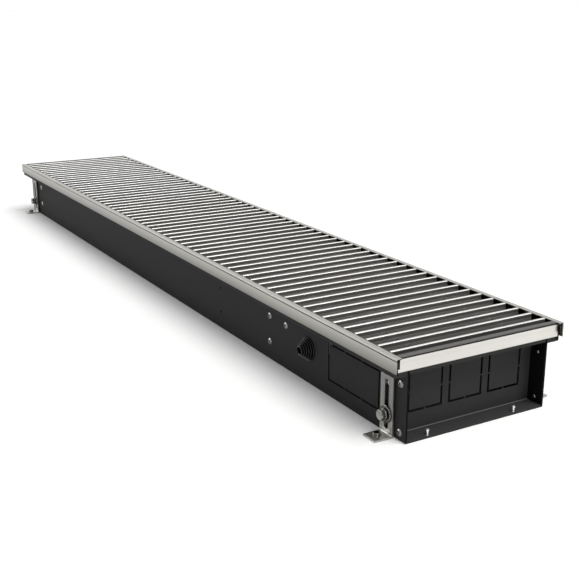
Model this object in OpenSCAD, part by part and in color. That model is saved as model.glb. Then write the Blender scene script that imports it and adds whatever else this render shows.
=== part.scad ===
// Trench convector heater: a long trough of coated sheet steel, let into a floor, with an
// aluminium frame, a grille of cross bars that lifts out, a finned water coil and a
// cross-flow fan. Millimetres. The origin is the middle of the footprint at floor level.
// +X is the end with the knock-outs for the pipes, -Y the long side with the cable grommet.

/* [Casing] */
// Length of the trough over its ends
casing_l = 1200; // [1100:10:1400]
// Width of the trough over its side walls
casing_w = 175; // [170:1:200]
// Height from the floor to the top of the grille
total_h = 90; // [88:1:105]
// Thickness of the sheet steel
sheet_t = 1; // [0.8:0.1:1.2]
// Outer radius of the bends in the sheet
bend_r = 1.4; // [1.3:0.1:2.5]
// Reach of the ledge outward from the side wall
ledge_w = 14.95; // [14:0.05:18]
// Depth of the recess outside each end plate
tray_depth = 20; // [18:1:24]
// Size of the fold between an end plate and its floor flange
fold_r = 0.8; // [0.6:0.1:2]

/* [Frame] */
// Height of the outer face of the frame
frame_h = 15; // [12:0.5:16]
// Width of the top of the frame
frame_top_w = 6; // [5.5:0.1:7]
// Thickness of the top of the frame
frame_top_t = 1.6; // [1.4:0.1:1.8]
// Wall of the frame's outer face
frame_t = 1.2; // [1:0.1:1.4]
// Wall of the leg inside the upstand
frame_leg_t = 1.4; // [1.2:0.1:1.6]
// Reach of the leg down from the top of the frame
frame_leg_h = 10.5; // [8:0.5:12]
// How far the side profiles run past the trough
frame_overhang = 4; // [3:0.5:6]
// How far the end profiles sit back from the ends of the side profiles
end_recess = 3; // [2:0.5:4]
// Depth of the fine groove under the top edge of the frame
groove = 0.7; // [0.3:0.1:0.7]
// Height of the fine groove
groove_h = 0.8; // [0.3:0.1:0.9]
// Distance from the top of the side profiles down to their groove
groove_drop = 2; // [1.9:0.1:2.5]
// Distance from the top of the end profiles down to their groove
end_groove_drop = 1.1; // [1:0.1:1.8]
// Bevel along the top edge of the frame
arris = 0.7; // [0.4:0.1:0.9]

/* [Grille] */
// Least gap from the last bar to the end profile
bar_edge_gap = 6; // [5.5:0.5:8]
// Distance from bar to bar
bar_pitch = 19.5; // [16:0.5:24]
// Width of a bar
bar_w = 3.2; // [3:0.1:5]
// Height of a bar
bar_h = 17.5; // [16:0.5:18]
// Bevel along the edges of a bar
bar_bevel = 0.4; // [0.3:0.1:0.6]
// Gap between the end of a bar and the frame
bar_end_gap = 1.5; // [1:0.5:3]
// How far the grille lies towards the far end
grille_shift = 1; // [0:0.5:3]
// Thickness of the caps on the ends of the rods
cap_t = 1.5; // [1:0.1:1.8]
// Diameter of the rods that join the bars
rod_d = 5; // [4:0.5:6]
// Distance between the two rods
rod_spacing = 120; // [90:1:130]
// Height of the rods above the foot of the bars
rod_rise = 8.5; // [8:0.5:9]
// Wall of the spacer sleeves on the rods
sleeve_t = 1.2; // [1:0.1:1.5]
// Thickness of the cushion strip under the bars
seat_t = 2; // [1.6:0.1:2.4]
// Width of the cushion strip
seat_w = 8; // [6:0.5:9]

/* [Knock-outs] */
// Width of the slots that outline a knock-out
slot_w = 2.4; // [1.2:0.1:2.6]
// Length of the joints that hold a knock-out
joint_w = 1.6; // [1.4:0.1:4]
// Width and height of a knock-out in the end plate
knock_end = 40; // [34:1:44]
// Height of the knock-out in the side wall above the floor
knock_side_z = 19; // [16:1:23]
// Height of the knock-outs in the end plate above the floor
knock_end_z = 22; // [18:1:23]
// Distance between the knock-outs in the end plate
knock_pitch = 50; // [47:1:53]
// Length of the knock-out in the side wall
knock_side_l = 90; // [70:1:95]
// Distance from the end of the trough to the knock-out in the side wall
knock_side_in = 44; // [42:1:50]

/* [Rivets] */
// Diameter of a rivet's body
rivet_d = 4; // [3.2:0.1:4.4]
// Diameter of a rivet's head
rivet_head_d = 8; // [7:0.1:8.5]
// Height of a rivet's head
rivet_head_h = 1.2; // [1:0.1:1.3]
// Length of a rivet's closed end behind the sheet
rivet_tail_l = 2; // [1.5:0.5:5]
// Diameter of a floor rivet's flush head
floor_head_d = 6.4; // [5:0.1:6.6]
// Length of a floor rivet's closed end above the sheet
floor_tail_l = 6; // [5:0.5:7]
// Height of the lower rivets in the end flanges
low_rivet_z = 8.5; // [8:0.5:12]
// Height of the upper rivets in the end flanges
high_rivet_z = 58; // [50:1:60]
// Height of the lower rivets of the support plates
support_rivet_z = 22; // [20:0.5:26]
// Distance from the +X end of the trough to the two spare holes in the front wall
spare_hole_in = 386; // [370:1:400]
// Diameter of the spare holes
spare_hole_d = 3; // [2.5:0.1:4.2]
// Distance of the floor rivets from the end of the trough
floor_rivet_in = 3.6; // [3.5:0.1:6]

/* [Feet] */
// Width of a foot bracket
foot_w = 20; // [19:1:22]
// Thickness of a foot bracket
foot_t = 2; // [1.5:0.5:2]
// Height of a foot bracket
foot_h = 62; // [58:1:63]
// Length of the sole of a foot bracket
foot_l = 21.5; // [21:0.5:30]
// Distance from the end of the trough to the middle of a foot bracket
foot_in = 26.6; // [26:0.2:30]
// Gap between the wall and a foot bracket
foot_gap = 1.5; // [1.5:0.1:3]
// Width of the slot in a foot bracket
foot_slot_w = 6.6; // [6.4:0.1:7]
// Height of the lower end of the slot
foot_slot_z = 6.7; // [6:0.1:8]
// Length of the slot from end to end
foot_slot_l = 51; // [45:1:51]
// Diameter of the clamp bolt
bolt_d = 6; // [5:0.5:6]
// Width across the flats of the bolt's head
bolt_af = 10; // [8:0.5:11]
// Height of the bolt's head
bolt_head_h = 4; // [3.5:0.1:5]
// Height of the clamp bolts above the floor
bolt_z = 22.5; // [20:0.5:28]
// Diameter of the flat washer
washer_d = 18; // [14:0.5:19]
// Thickness of the flat washer
washer_t = 2; // [1.2:0.1:2.4]
// Diameter of the spring washer
spring_washer_d = 11.8; // [10.5:0.1:13]
// Thickness of the spring washer
spring_washer_t = 2.2; // [1.4:0.1:2.4]
// Length of the clamp bolt under its head
bolt_l = 16; // [14:0.5:18]
// Diameter of the spacer ring between wall and bracket
ring_d = 13; // [10:0.5:16]
// Thickness of the nut plate behind the wall
nut_plate_t = 3; // [2:0.5:4]
// Outer radius of the bracket's bend
foot_bend_r = 3; // [2.5:0.1:4]
// Width across the flats of the levelling screw's socket
level_socket = 5; // [3:0.5:5]
// Diameter of the levelling screw
level_d = 8; // [6:0.5:8]
// Length of the levelling screw
level_l = 5.5; // [5:0.5:9]
// Distance from the bracket's back to the levelling screw
level_out = 12.5; // [12:0.5:16]
// Diameter of the anchor hole in the sole
anchor_d = 4; // [3.5:0.1:4.2]
// Distance of the anchor hole from the bracket's middle
anchor_side = 6.9; // [6.7:0.1:7.1]
// Distance from the bracket's back to the anchor hole
anchor_out = 12.5; // [12.5:0.1:13]

/* [Cable grommet] */
// Distance from the end of the trough to the grommet
grommet_in = 175; // [160:1:180]
// Height of the grommet above the floor
grommet_z = 40; // [35:1:44]
// Diameter of the grommet's base
grommet_d = 27.5; // [24:0.5:32]
// Diameter of the grommet's neck in the wall
grommet_neck_d = 22; // [18:0.5:23]
// Diameter of the cable bore
cable_bore_d = 8; // [6:0.5:9]
// How far the grommet stands out from the wall
grommet_l = 12; // [10:0.5:16]
// How far the grommet reaches inside the wall
grommet_inner_l = 3; // [2:0.5:5]

/* [Support plates] */
// Distance from the near end of the trough to the near support rivets
support_near_in = 260; // [255:1:300]
// Distance from the far end of the trough to the far support rivets
support_far_in = 58; // [56:1:70]
// Depth of the support plates' side flanges
support_flange = 16; // [14:1:18]
// Gap from the top of a support plate to the ledge
support_drop = 4.5; // [4:0.5:7]

/* [Water coil] */
// Width of the fins
fin_w = 88; // [80:1:92]
// Height of the fins
fin_h = 50; // [46:1:52]
// Thickness of a fin
fin_t = 0.5; // [0.4:0.1:0.8]
// Distance from fin to fin
fin_pitch = 8; // [6:0.5:12]
// Height of the underside of the fins
fin_z = 10; // [8:1:12]
// Gap from the fins to the back wall
fin_wall_gap = 5; // [3:0.5:7]
// Outer diameter of the copper tubes
tube_d = 15; // [12:0.5:16]
// Wall of the copper tubes
tube_t = 0.8; // [0.6:0.1:1]
// Distance between the two columns of tubes
tube_dy = 46; // [40:1:48]
// Distance between the two rows of tubes
tube_dz = 26; // [22:1:28]
// How far a tube's plain end stands past a support plate
tube_end = 8; // [7:0.5:9]
// How far the two lower tubes reach into the pipe chamber
tube_reach = 90; // [70:1:110]
// Width of the brass connection blocks
block_w = 26; // [24:0.5:28]
// Depth of the tube's seat in a connection block
solder_l = 10; // [8:0.5:12]
// Length of the brass connection blocks
block_l = 30; // [26:1:36]
// Diameter of the thread bore in a connection block
thread_d = 18.6; // [16.6:0.1:19]
// Depth of the thread bore
thread_l = 14; // [12:0.5:16]
// Diameter of the air vent's body
vent_d = 10; // [8:0.5:12]
// Height of the air vent's body
vent_h = 9; // [7:0.5:10]
// Diameter of the air vent's screw
vent_screw_d = 5; // [4:0.5:6]

/* [Fan] */
// Diameter of the fan drum
drum_d = 44; // [40:1:46]
// Distance from the front wall to the fan shaft
shaft_y_in = 34.5; // [34:0.5:36]
// Height of the fan shaft above the floor
shaft_z = 36; // [34:0.5:38]
// Diameter of the fan shaft
shaft_d = 6; // [5:0.5:7]
// Number of blades round the drum
blade_n = 20; // [12:1:24]
// Depth of a blade along the drum's radius
blade_w = 6; // [4:0.5:7]
// Thickness of a blade and of the drum's discs
blade_t = 1; // [0.8:0.1:1.4]
// Distance from a drum to its support plate
drum_gap = 19; // [18:1:40]
// Number of rings that brace the blades of a drum
ring_n = 3; // [1:1:5]
// Lean of a blade from the radius, in degrees
blade_lean = 35; // [20:1:40]
// Length of a motor's nose
nose_l = 4; // [3:0.5:6]
// Length of the motor
motor_l = 60; // [50:1:70]
// Diameter of the motor
motor_d = 42; // [38:1:44]
// Distance from the middle of the motor to the drums
motor_side = 38; // [37:1:40]
// Thickness of the plates of the motor bracket
bracket_t = 3; // [2:0.5:4]
// Clearance between the drum and its guide sheet
guide_gap = 3; // [2:0.1:4]
// Thickness of the guide sheets
guide_t = 0.8; // [0.6:0.1:1]

/* [Terminal box] */
// Distance from the near end of the trough to the middle of the terminal box
box_in = 223.5; // [223:0.5:226]
// Length of the terminal box along the wall
box_l = 50; // [44:1:52]
// Depth of the terminal box from the wall
box_d = 45; // [40:1:50]
// Height of the terminal box
box_h = 42; // [38:1:44]
// Height of the underside of the terminal box
box_z = 18; // [16:1:20]
// Wall of the terminal box
box_t = 2; // [1.5:0.5:2.5]
// Height of the rivet that holds the terminal box
box_rivet_z = 52; // [46:1:53]
// Diameter of the fan's lead
lead_d = 6; // [5:0.5:7]

/* [Fits] */
// Gap between sheets that lie on each other
sheet_gap = 0.1; // [0.05:0.05:0.2]
// Gap round parts that stay put in a hole
hole_gap = 0.1; // [0.05:0.05:0.2]
// Radial clearance of parts that turn or slide in a hole
run_gap = 0.05; // [0.03:0.01:0.08]
// Gap between bodies that move past each other
move_gap = 0.4; // [0.3:0.1:0.5]
// Gap between the frame profile and the upstand inside it
clip_gap = 0.35; // [0.3:0.05:0.5]

/* [Hidden] */

over = 2;
round_fn = 48;
small_fn = 24;

// Trough, end trays and frame
ledge_top = total_h - bar_h - seat_t;
ledge_under = ledge_top - sheet_t;
wall_y = casing_w / 2;
inner_y = wall_y - sheet_t;
upstand_y = wall_y + ledge_w;
upstand_top = total_h - frame_top_t - sheet_gap;
casing_x = casing_l / 2;
plate_x = casing_x - tray_depth;
plate_in_x = plate_x - sheet_t;
sheet_y = inner_y - sheet_gap;
sheet_z = sheet_t + sheet_gap;
tray_top = ledge_top + sheet_gap + sheet_t;
wing_y = upstand_y - bend_r - sheet_gap;
frame_y = upstand_y + clip_gap + frame_t;
frame_inner_y = frame_y - frame_top_w;
frame_x = casing_x + frame_overhang;
frame_end_x = frame_x - end_recess;
frame_end_half = frame_inner_y - sheet_gap;
leg_out = frame_t + 2 * clip_gap + sheet_t;
leg_in = leg_out + frame_leg_t;
frame_end_reach = frame_y - leg_in - clip_gap;
tray_upstand_x = frame_end_x - frame_t - clip_gap;
tray_rivet_x = casing_x - tray_depth / 2;

// Grille
bar_half = frame_inner_y - bar_end_gap;
bar_foot_z = total_h - bar_h;
bar_room = 2 * (frame_end_x - frame_top_w - bar_edge_gap);
bar_n = 1 + floor((bar_room - bar_w) / bar_pitch);
bars_half = bar_pitch * (bar_n - 1) / 2;
grille_x = -grille_shift;
rod_z = bar_foot_z + rod_rise;
rod_y = rod_spacing / 2;
rod_half = bars_half + bar_w / 2 + cap_t;
cap_d = 2 * rod_d;
sleeve_d = rod_d + 2 * (run_gap + sleeve_t);
sleeve_l = bar_pitch - bar_w - 2 * hole_gap;
seat_y = frame_inner_y - move_gap - seat_w;
seat_x = plate_in_x - move_gap;

// Feet
foot_x = casing_x - foot_in;
foot_back_y = wall_y + foot_gap;
foot_face_y = foot_back_y + foot_t;
bolt_head_y = foot_face_y + washer_t + spring_washer_t;
bolt_hole_d = bolt_d + 2 * hole_gap;
level_y = foot_back_y + level_out;
nut_plate_x0 = foot_x - foot_w / 2;
nut_plate_z0 = foot_slot_z;
nut_plate_z1 = foot_slot_z + foot_slot_l;
nut_rivet_z = nut_plate_z1 - rivet_head_d / 2;

// Support plates and coil
support_near_x = casing_x - support_near_in;
support_far_x = support_far_in - casing_x;
web_near_x = support_near_x - support_flange / 2;
web_far_x = support_far_x + support_flange / 2;
support_top = ledge_under - support_drop;
support_rivet_zs = [support_rivet_z, support_top - rivet_head_d - rivet_d];
fin_y1 = inner_y - fin_wall_gap;
fin_y0 = fin_y1 - fin_w;
fin_mid_y = (fin_y0 + fin_y1) / 2;
fin_mid_z = fin_z + fin_h / 2;
tube_ys = [fin_mid_y - tube_dy / 2, fin_mid_y + tube_dy / 2];
tube_zs = [fin_mid_z - tube_dz / 2, fin_mid_z + tube_dz / 2];
coil_mid_x = (web_near_x + web_far_x) / 2;
drum_l = web_near_x - drum_gap - motor_side - coil_mid_x;
fin_room = web_near_x - web_far_x - 2 * sheet_t - fin_pitch;
fin_n = 1 + floor(fin_room / fin_pitch);
tube_bore = tube_d - 2 * tube_t;
tube_near_x = web_near_x + tube_end;
tube_far_x = web_far_x - tube_end;
block_x0 = web_near_x + tube_reach - solder_l;
block_top = tube_zs[0] + block_w / 2;
vent_x = block_x0 + solder_l;

// Fan
shaft_y = shaft_y_in - wall_y;
drum_r = drum_d / 2;
blade_mid_r = drum_r - blade_w / 2;
hub_d = 2 * shaft_d;
guide_r = drum_r + guide_gap;
guide_z = shaft_z - guide_r;
bearing_d = 2.5 * shaft_d;
bearing_l = 1.5 * shaft_d;
cushion_d = bearing_d + shaft_d;
cushion_lip = shaft_d / 3;
shaft_over = bearing_l;
tongue_y = shaft_y + guide_r * cos(45);
tongue_z = shaft_z + guide_r * sin(45);
fin_top = fin_z + fin_h;

// Terminal box and lead
box_x = casing_x - box_in;
box_cover_z = box_z + box_h;
post_d = 3 * box_t;
post_x = (box_l - box_t - post_d) / 2;
post_y = (box_t + post_d) / 2;
screw_d = 1.2 * box_t;
lead_y = shaft_y - motor_d / 2 - lead_d;
lead_z = 2 * sheet_z + sheet_gap + lead_d / 2;
lead_bend = lead_d;

// Places given as shares of the size that each follows
floor_rivet_shares = [-0.335, 0.29];
side_joint_shares = [0.33, 0.67];
mid_shares = [0.5];
rivet_hole_share = 0.28;
rivet_tail_share = 1.2;
level_socket_share = 0.45;
cradle_share = 0.6;

// Colours
steel_black = "#2c2c2d";
aluminium = "#b9b5ac";
bar_silver = "#d2cfc9";
bright_steel = "#a9a9a6";
rubber_black = "#17181a";
copper = "#b87345";
brass = "#b8963f";
plastic_grey = "#4a4c50";

// A box that is centred on X and Y and stands on Z
module block(x, y, z, at = [0, 0, 0]) {
    translate(at + [-x / 2, -y / 2, 0]) cube([x, y, z]);
}

module both_sides() {
    children();
    mirror([0, 1, 0]) children();
}

module both_ends() {
    children();
    mirror([1, 0, 0]) children();
}

module bar_x(x0, x1, d, y = 0, z = 0, fn = round_fn) {
    translate([x0, y, z]) rotate([0, 90, 0]) cylinder(h = x1 - x0, d = d, $fn = fn);
}

module bar_y(y0, y1, d, x = 0, z = 0, fn = round_fn) {
    translate([x, y0, z]) rotate([-90, 0, 0]) cylinder(h = y1 - y0, d = d, $fn = fn);
}

// Turns a shape drawn in Y and Z and extruded along its own normal to lie along X
module along_x(x) {
    translate([x, 0, 0]) rotate([90, 0, 90]) children();
}

// A quarter ring, the section of a bend in a sheet, in the quadrant that a names
module bend(a, r = bend_r, t = sheet_t) {
    rotate(a) intersection() {
        difference() {
            circle(r = r, $fn = round_fn);
            circle(r = r - t, $fn = round_fn);
        }
        square(r);
    }
}

// Half of the trough's section: floor, side wall, ledge and upstand
module half_trough() {
    ledge_y0 = inner_y + bend_r;
    ledge_y1 = upstand_y - bend_r;
    stand_z = ledge_under + bend_r;
    square([wall_y - bend_r, sheet_t]);
    translate([wall_y - bend_r, bend_r]) bend(-90);
    translate([inner_y, bend_r]) square([sheet_t, ledge_top - 2 * bend_r]);
    translate([ledge_y0, ledge_top - bend_r]) bend(90);
    translate([ledge_y0, ledge_under]) square([ledge_y1 - ledge_y0, sheet_t]);
    translate([ledge_y1, stand_z]) bend(-90);
    translate([upstand_y - sheet_t, stand_z]) square([sheet_t, upstand_top - stand_z]);
}

// Half of the section of a sheet that lies on the floor and up the wall, inside the trough
module half_flange(top) {
    translate([0, sheet_z]) square([sheet_y - bend_r, sheet_t]);
    translate([sheet_y - bend_r, sheet_z + bend_r]) bend(-90);
    wall_z = sheet_z + bend_r;
    translate([sheet_y - sheet_t, wall_z]) square([sheet_t, top - wall_z]);
}

// Half of a plate that fills the trough, with its lower corner rounded as the trough is
module half_plate(top) {
    corner_y = sheet_y - bend_r;
    corner_z = sheet_z + bend_r;
    translate([0, sheet_z]) square([corner_y, top - sheet_z]);
    translate([0, corner_z]) square([sheet_y, top - corner_z]);
    translate([corner_y, corner_z]) circle(r = bend_r, $fn = round_fn);
}

// A plate across the trough whose flanges on the floor and walls reach from x0 to x1
module cross_plate(x0, x1, top) {
    along_x(x0) linear_extrude(sheet_t) {
        half_plate(top);
        mirror([1, 0]) half_plate(top);
    }
    along_x(x0) linear_extrude(x1 - x0) {
        half_flange(top);
        mirror([1, 0]) half_flange(top);
    }
}

// The slots round a knock-out of w by h, with the joints that hold it left in
module knock_slots(w, h, joints_x, joints_y) {
    difference() {
        block(w + slot_w, h + slot_w, 2 * over, [w / 2, h / 2, -over]);
        block(w - slot_w, h - slot_w, 4 * over, [w / 2, h / 2, -2 * over]);
        for (s = joints_x) block(joint_w, 3 * h, 4 * over, [w * s, h / 2, -2 * over]);
        for (s = joints_y) block(3 * w, joint_w, 4 * over, [w / 2, h * s, -2 * over]);
    }
}

// A blind rivet on Z: its head rests on z = 0 and its closed end lies below z = -grip
module rivet(grip) {
    head_r = rivet_head_d / 2;
    dome_r = (head_r * head_r + rivet_head_h * rivet_head_h) / (2 * rivet_head_h);
    difference() {
        intersection() {
            translate([0, 0, rivet_head_h - dome_r]) sphere(r = dome_r, $fn = 2 * round_fn);
            cylinder(h = rivet_head_h, d = rivet_head_d, $fn = round_fn);
        }
        cylinder(h = rivet_head_h, d = rivet_head_d * rivet_hole_share, $fn = small_fn);
    }
    translate([0, 0, -grip]) cylinder(h = grip, d = rivet_d, $fn = round_fn);
    translate([0, 0, -grip - rivet_tail_l])
        cylinder(h = rivet_tail_l, d = rivet_d * rivet_tail_share, $fn = round_fn);
}

module wall_rivet(x, z, grip) {
    translate([x, -wall_y, z]) rotate([90, 0, 0]) rivet(grip);
}

// A hole through the front wall and what lies behind it
module wall_hole(x, z, d = rivet_d + 2 * hole_gap, depth = over) {
    bar_y(-wall_y - over, -inner_y + depth, d, x, z);
}

module end_rivet_places() {
    for (z = [low_rivet_z, high_rivet_z]) translate([tray_rivet_x, 0, z]) children();
}

module support_rivet_places() {
    for (x = [support_near_x, support_far_x], z = support_rivet_zs)
        translate([x, 0, z]) children();
}

module floor_rivet_places() {
    for (s = floor_rivet_shares)
        translate([casing_x - floor_rivet_in, s * casing_w, 0]) children();
}

module floor_rivet_hole() {
    d = rivet_d + 2 * hole_gap;
    cylinder(h = sheet_t, d1 = floor_head_d + 2 * hole_gap, d2 = d, $fn = round_fn);
    translate([0, 0, -over]) cylinder(h = tray_depth, d = d, $fn = round_fn);
}

module casing_trough() {
    color(steel_black) difference() {
        along_x(-casing_x) linear_extrude(casing_l) {
            half_trough();
            mirror([1, 0]) half_trough();
        }
        both_ends() floor_rivet_places() floor_rivet_hole();
        both_sides() {
            both_ends() {
                end_rivet_places() wall_hole(0, 0);
                wall_hole(foot_x, bolt_z, bolt_hole_d);
                wall_hole(foot_x, nut_rivet_z);
            }
            support_rivet_places() wall_hole(0, 0);
        }
        for (z = support_rivet_zs) wall_hole(casing_x - spare_hole_in, z, spare_hole_d);
        wall_hole(box_x, box_rivet_z);
        wall_hole(casing_x - grommet_in, grommet_z, grommet_neck_d + 2 * hole_gap);
        translate([casing_x - knock_side_in - knock_side_l, -wall_y, knock_side_z])
            rotate([90, 0, 0]) knock_slots(knock_side_l, knock_end, side_joint_shares, []);
    }
}

// The fold between the end plate and its flange on the floor
module floor_fold() {
    half = sheet_y - bend_r;
    z = sheet_z + sheet_t;
    translate([0, half, 0]) rotate([90, 0, 0]) linear_extrude(2 * half) polygon([
        [plate_in_x, sheet_z], [plate_x + fold_r, sheet_z], [plate_x + fold_r, z],
        [plate_x, z + fold_r], [plate_in_x, z + fold_r]
    ]);
}

// The tray at the +X end: a plate set back in the trough, flanges out along the floor and
// the walls, and a top flange on the ledges with an upstand for the end profile
module end_tray() {
    difference() {
        union() {
            cross_plate(plate_in_x, casing_x, tray_top);
            block(tray_upstand_x - plate_in_x, 2 * wing_y, sheet_t,
                [(tray_upstand_x + plate_in_x) / 2, 0, tray_top - sheet_t]);
            block(sheet_t, 2 * frame_end_half, upstand_top - tray_top + sheet_t,
                [tray_upstand_x - sheet_t / 2, 0, tray_top - sheet_t]);
            floor_fold();
        }
        floor_rivet_places() floor_rivet_hole();
        both_sides() end_rivet_places() wall_hole(0, 0);
        block(tray_depth, casing_w, ledge_top,
            [tray_upstand_x + tray_depth / 2, 0, ledge_under]);
    }
}

module end_plate_near() {
    color(steel_black) difference() {
        end_tray();
        for (i = [-1:1]) along_x(plate_x)
            translate([i * knock_pitch - knock_end / 2, knock_end_z])
            knock_slots(knock_end, knock_end, mid_shares, mid_shares);
    }
}

module end_plate_far() {
    color(steel_black) mirror([1, 0, 0]) end_tray();
}

module end_flange_rivets() {
    color(bright_steel) both_ends() both_sides()
        end_rivet_places() wall_rivet(0, 0, sheet_t + sheet_z);
}

module floor_rivets() {
    color(bright_steel) both_ends() floor_rivet_places() {
        cylinder(h = sheet_t, d1 = floor_head_d, d2 = rivet_d, $fn = round_fn);
        cylinder(h = sheet_t + sheet_z + floor_tail_l, d = rivet_d, $fn = round_fn);
    }
}

// Section of the frame profile, an upside-down channel whose outer face is at zero and
// whose groove starts drop below the top
module frame_section(drop) {
    top = total_h;
    outer_z = total_h - frame_h;
    leg_z = total_h - frame_leg_h;
    under = total_h - frame_top_t;
    groove_z1 = total_h - drop;
    groove_z0 = groove_z1 - groove_h;
    polygon([
        [0, outer_z], [0, groove_z0], [-groove, groove_z0], [-groove, groove_z1], [0, groove_z1],
        [0, top - arris], [-arris, top], [-frame_top_w, top], [-frame_top_w, under],
        [-leg_in, under], [-leg_in, leg_z], [-leg_out, leg_z], [-leg_out, under],
        [-frame_t, under], [-frame_t, outer_z]
    ]);
}

module frame_side_back() {
    color(aluminium) along_x(-frame_x) linear_extrude(2 * frame_x)
        translate([frame_y, 0]) frame_section(groove_drop);
}

module frame_side_front() {
    mirror([0, 1, 0]) frame_side_back();
}

// The profile at the near end, its top cut short to fit between the side profiles
module frame_end_near() {
    color(aluminium) difference() {
        translate([frame_end_x, frame_end_reach, 0]) rotate([90, 0, 0])
            linear_extrude(2 * frame_end_reach) frame_section(end_groove_drop);
        both_sides() translate([frame_end_x - 2 * frame_top_w, frame_end_half, upstand_top])
            cube([4 * frame_top_w, frame_top_w, frame_h]);
    }
}

module frame_end_far() {
    mirror([1, 0, 0]) frame_end_near();
}

module grille_seat_strips() {
    color(rubber_black) both_sides()
        block(2 * seat_x, seat_w, seat_t - sheet_gap, [0, seat_y + seat_w / 2, ledge_top]);
}

module grille_bars() {
    color(bar_silver) for (i = [0:bar_n - 1])
        translate([grille_x + i * bar_pitch - bars_half, 0, bar_foot_z]) difference() {
            translate([0, bar_half, 0]) rotate([90, 0, 0]) linear_extrude(2 * bar_half) polygon([
                [-bar_w / 2, bar_bevel], [bar_bevel - bar_w / 2, 0],
                [bar_w / 2 - bar_bevel, 0], [bar_w / 2, bar_bevel],
                [bar_w / 2, bar_h - bar_bevel], [bar_w / 2 - bar_bevel, bar_h],
                [bar_bevel - bar_w / 2, bar_h], [-bar_w / 2, bar_h - bar_bevel]
            ]);
            for (y = [-rod_y, rod_y]) bar_x(-bar_w, bar_w, rod_d + 2 * run_gap, y, rod_rise);
        }
}

module grille_rods() {
    color(bright_steel) both_sides()
        bar_x(grille_x - rod_half, grille_x + rod_half, rod_d, rod_y, rod_z);
}

module grille_spacers() {
    color(rubber_black) for (i = [1:bar_n - 1], y = [-rod_y, rod_y])
        translate([grille_x + (i - 0.5) * bar_pitch - bars_half, 0, 0]) difference() {
            bar_x(-sleeve_l / 2, sleeve_l / 2, sleeve_d, y, rod_z, small_fn);
            bar_x(-sleeve_l, sleeve_l, rod_d + 2 * run_gap, y, rod_z, small_fn);
        }
}

module grille_rod_caps() {
    x0 = bars_half + bar_w / 2 + hole_gap;
    color(rubber_black) translate([grille_x, 0, 0]) both_ends() both_sides() difference() {
        bar_x(x0, rod_half + cap_t, cap_d, rod_y, rod_z);
        bar_x(x0 - over, rod_half + hole_gap, rod_d + 2 * run_gap, rod_y, rod_z);
    }
}

// A slot along Z through a plate that lies at the front, from y0 to y1
module upright_slot(y0, y1) {
    r = foot_slot_w / 2;
    z0 = foot_slot_z + r;
    z1 = foot_slot_z + foot_slot_l - r;
    bar_y(y0, y1, foot_slot_w, 0, z0);
    bar_y(y0, y1, foot_slot_w, 0, z1);
    block(foot_slot_w, y1 - y0, z1 - z0, [0, (y0 + y1) / 2, z0]);
}

// The bracket at the near end of the front side
module foot_bracket() {
    translate([foot_x, 0, 0]) difference() {
        along_x(-foot_w / 2) linear_extrude(foot_w) {
            translate([-foot_face_y, foot_bend_r]) square([foot_t, foot_h - foot_bend_r]);
            translate([-foot_back_y - foot_bend_r, foot_bend_r]) bend(-90, foot_bend_r, foot_t);
            translate([-foot_back_y - foot_l, 0]) square([foot_l - foot_bend_r, foot_t]);
        }
        upright_slot(-foot_face_y - over, -foot_back_y + over);
        translate([0, -level_y, -over])
            cylinder(h = foot_t + 2 * over, d = level_d + 2 * run_gap, $fn = round_fn);
        translate([anchor_side, -foot_back_y - anchor_out, -over])
            cylinder(h = foot_t + 2 * over, d = anchor_d, $fn = round_fn);
    }
}

module foot_near_front() {
    color(bright_steel) foot_bracket();
}

module foot_near_back() {
    color(bright_steel) mirror([0, 1, 0]) foot_bracket();
}

module foot_far_front() {
    color(bright_steel) mirror([1, 0, 0]) foot_bracket();
}

module foot_far_back() {
    color(bright_steel) mirror([1, 0, 0]) mirror([0, 1, 0]) foot_bracket();
}

module level_screw() {
    socket_h = level_l * level_socket_share;
    translate([foot_x, -level_y, 0]) difference() {
        cylinder(h = level_l, d = level_d, $fn = round_fn);
        translate([0, 0, level_l - socket_h])
            cylinder(h = level_l, d = level_socket / cos(30), $fn = 6);
    }
}

module level_screw_near_front() {
    color(bright_steel) level_screw();
}

module level_screw_near_back() {
    color(bright_steel) mirror([0, 1, 0]) level_screw();
}

module level_screw_far_front() {
    color(bright_steel) mirror([1, 0, 0]) level_screw();
}

module level_screw_far_back() {
    color(bright_steel) mirror([1, 0, 0]) mirror([0, 1, 0]) level_screw();
}

module clamp_bolts() {
    head_d = bolt_af / cos(30);
    color(bright_steel) both_ends() both_sides() {
        translate([foot_x, -bolt_head_y, bolt_z]) rotate([90, 0, 0])
            rotate(30) cylinder(h = bolt_head_h, d = head_d, $fn = 6);
        bar_y(-bolt_head_y, bolt_l - bolt_head_y, bolt_d, foot_x, bolt_z);
    }
}

// A ring round each clamp bolt, from y0 outward by t
module bolt_rings(y0, t, d) {
    both_ends() both_sides() difference() {
        bar_y(-y0 - t, -y0, d, foot_x, bolt_z);
        bar_y(-y0 - t - over, over - y0, bolt_hole_d, foot_x, bolt_z);
    }
}

module spring_washers() {
    color(bright_steel) difference() {
        bolt_rings(foot_face_y + washer_t, spring_washer_t, spring_washer_d);
        both_ends() both_sides() block(spring_washer_t / 2, washer_t + bolt_head_y, washer_d,
            [foot_x, -bolt_head_y, bolt_z]);
    }
}

module flat_washers() {
    color(bright_steel) bolt_rings(foot_face_y, washer_t, washer_d);
}

module spacer_rings() {
    color(bright_steel) bolt_rings(wall_y, foot_gap - sheet_gap, ring_d);
}

module nut_plates() {
    x1 = plate_in_x - move_gap;
    color(bright_steel) both_ends() both_sides() difference() {
        translate([nut_plate_x0, -sheet_y, nut_plate_z0])
            cube([x1 - nut_plate_x0, nut_plate_t, nut_plate_z1 - nut_plate_z0]);
        wall_hole(foot_x, bolt_z, bolt_d + 2 * run_gap, nut_plate_t + over);
        wall_hole(foot_x, nut_rivet_z, rivet_d + 2 * hole_gap, nut_plate_t + over);
    }
}

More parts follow.
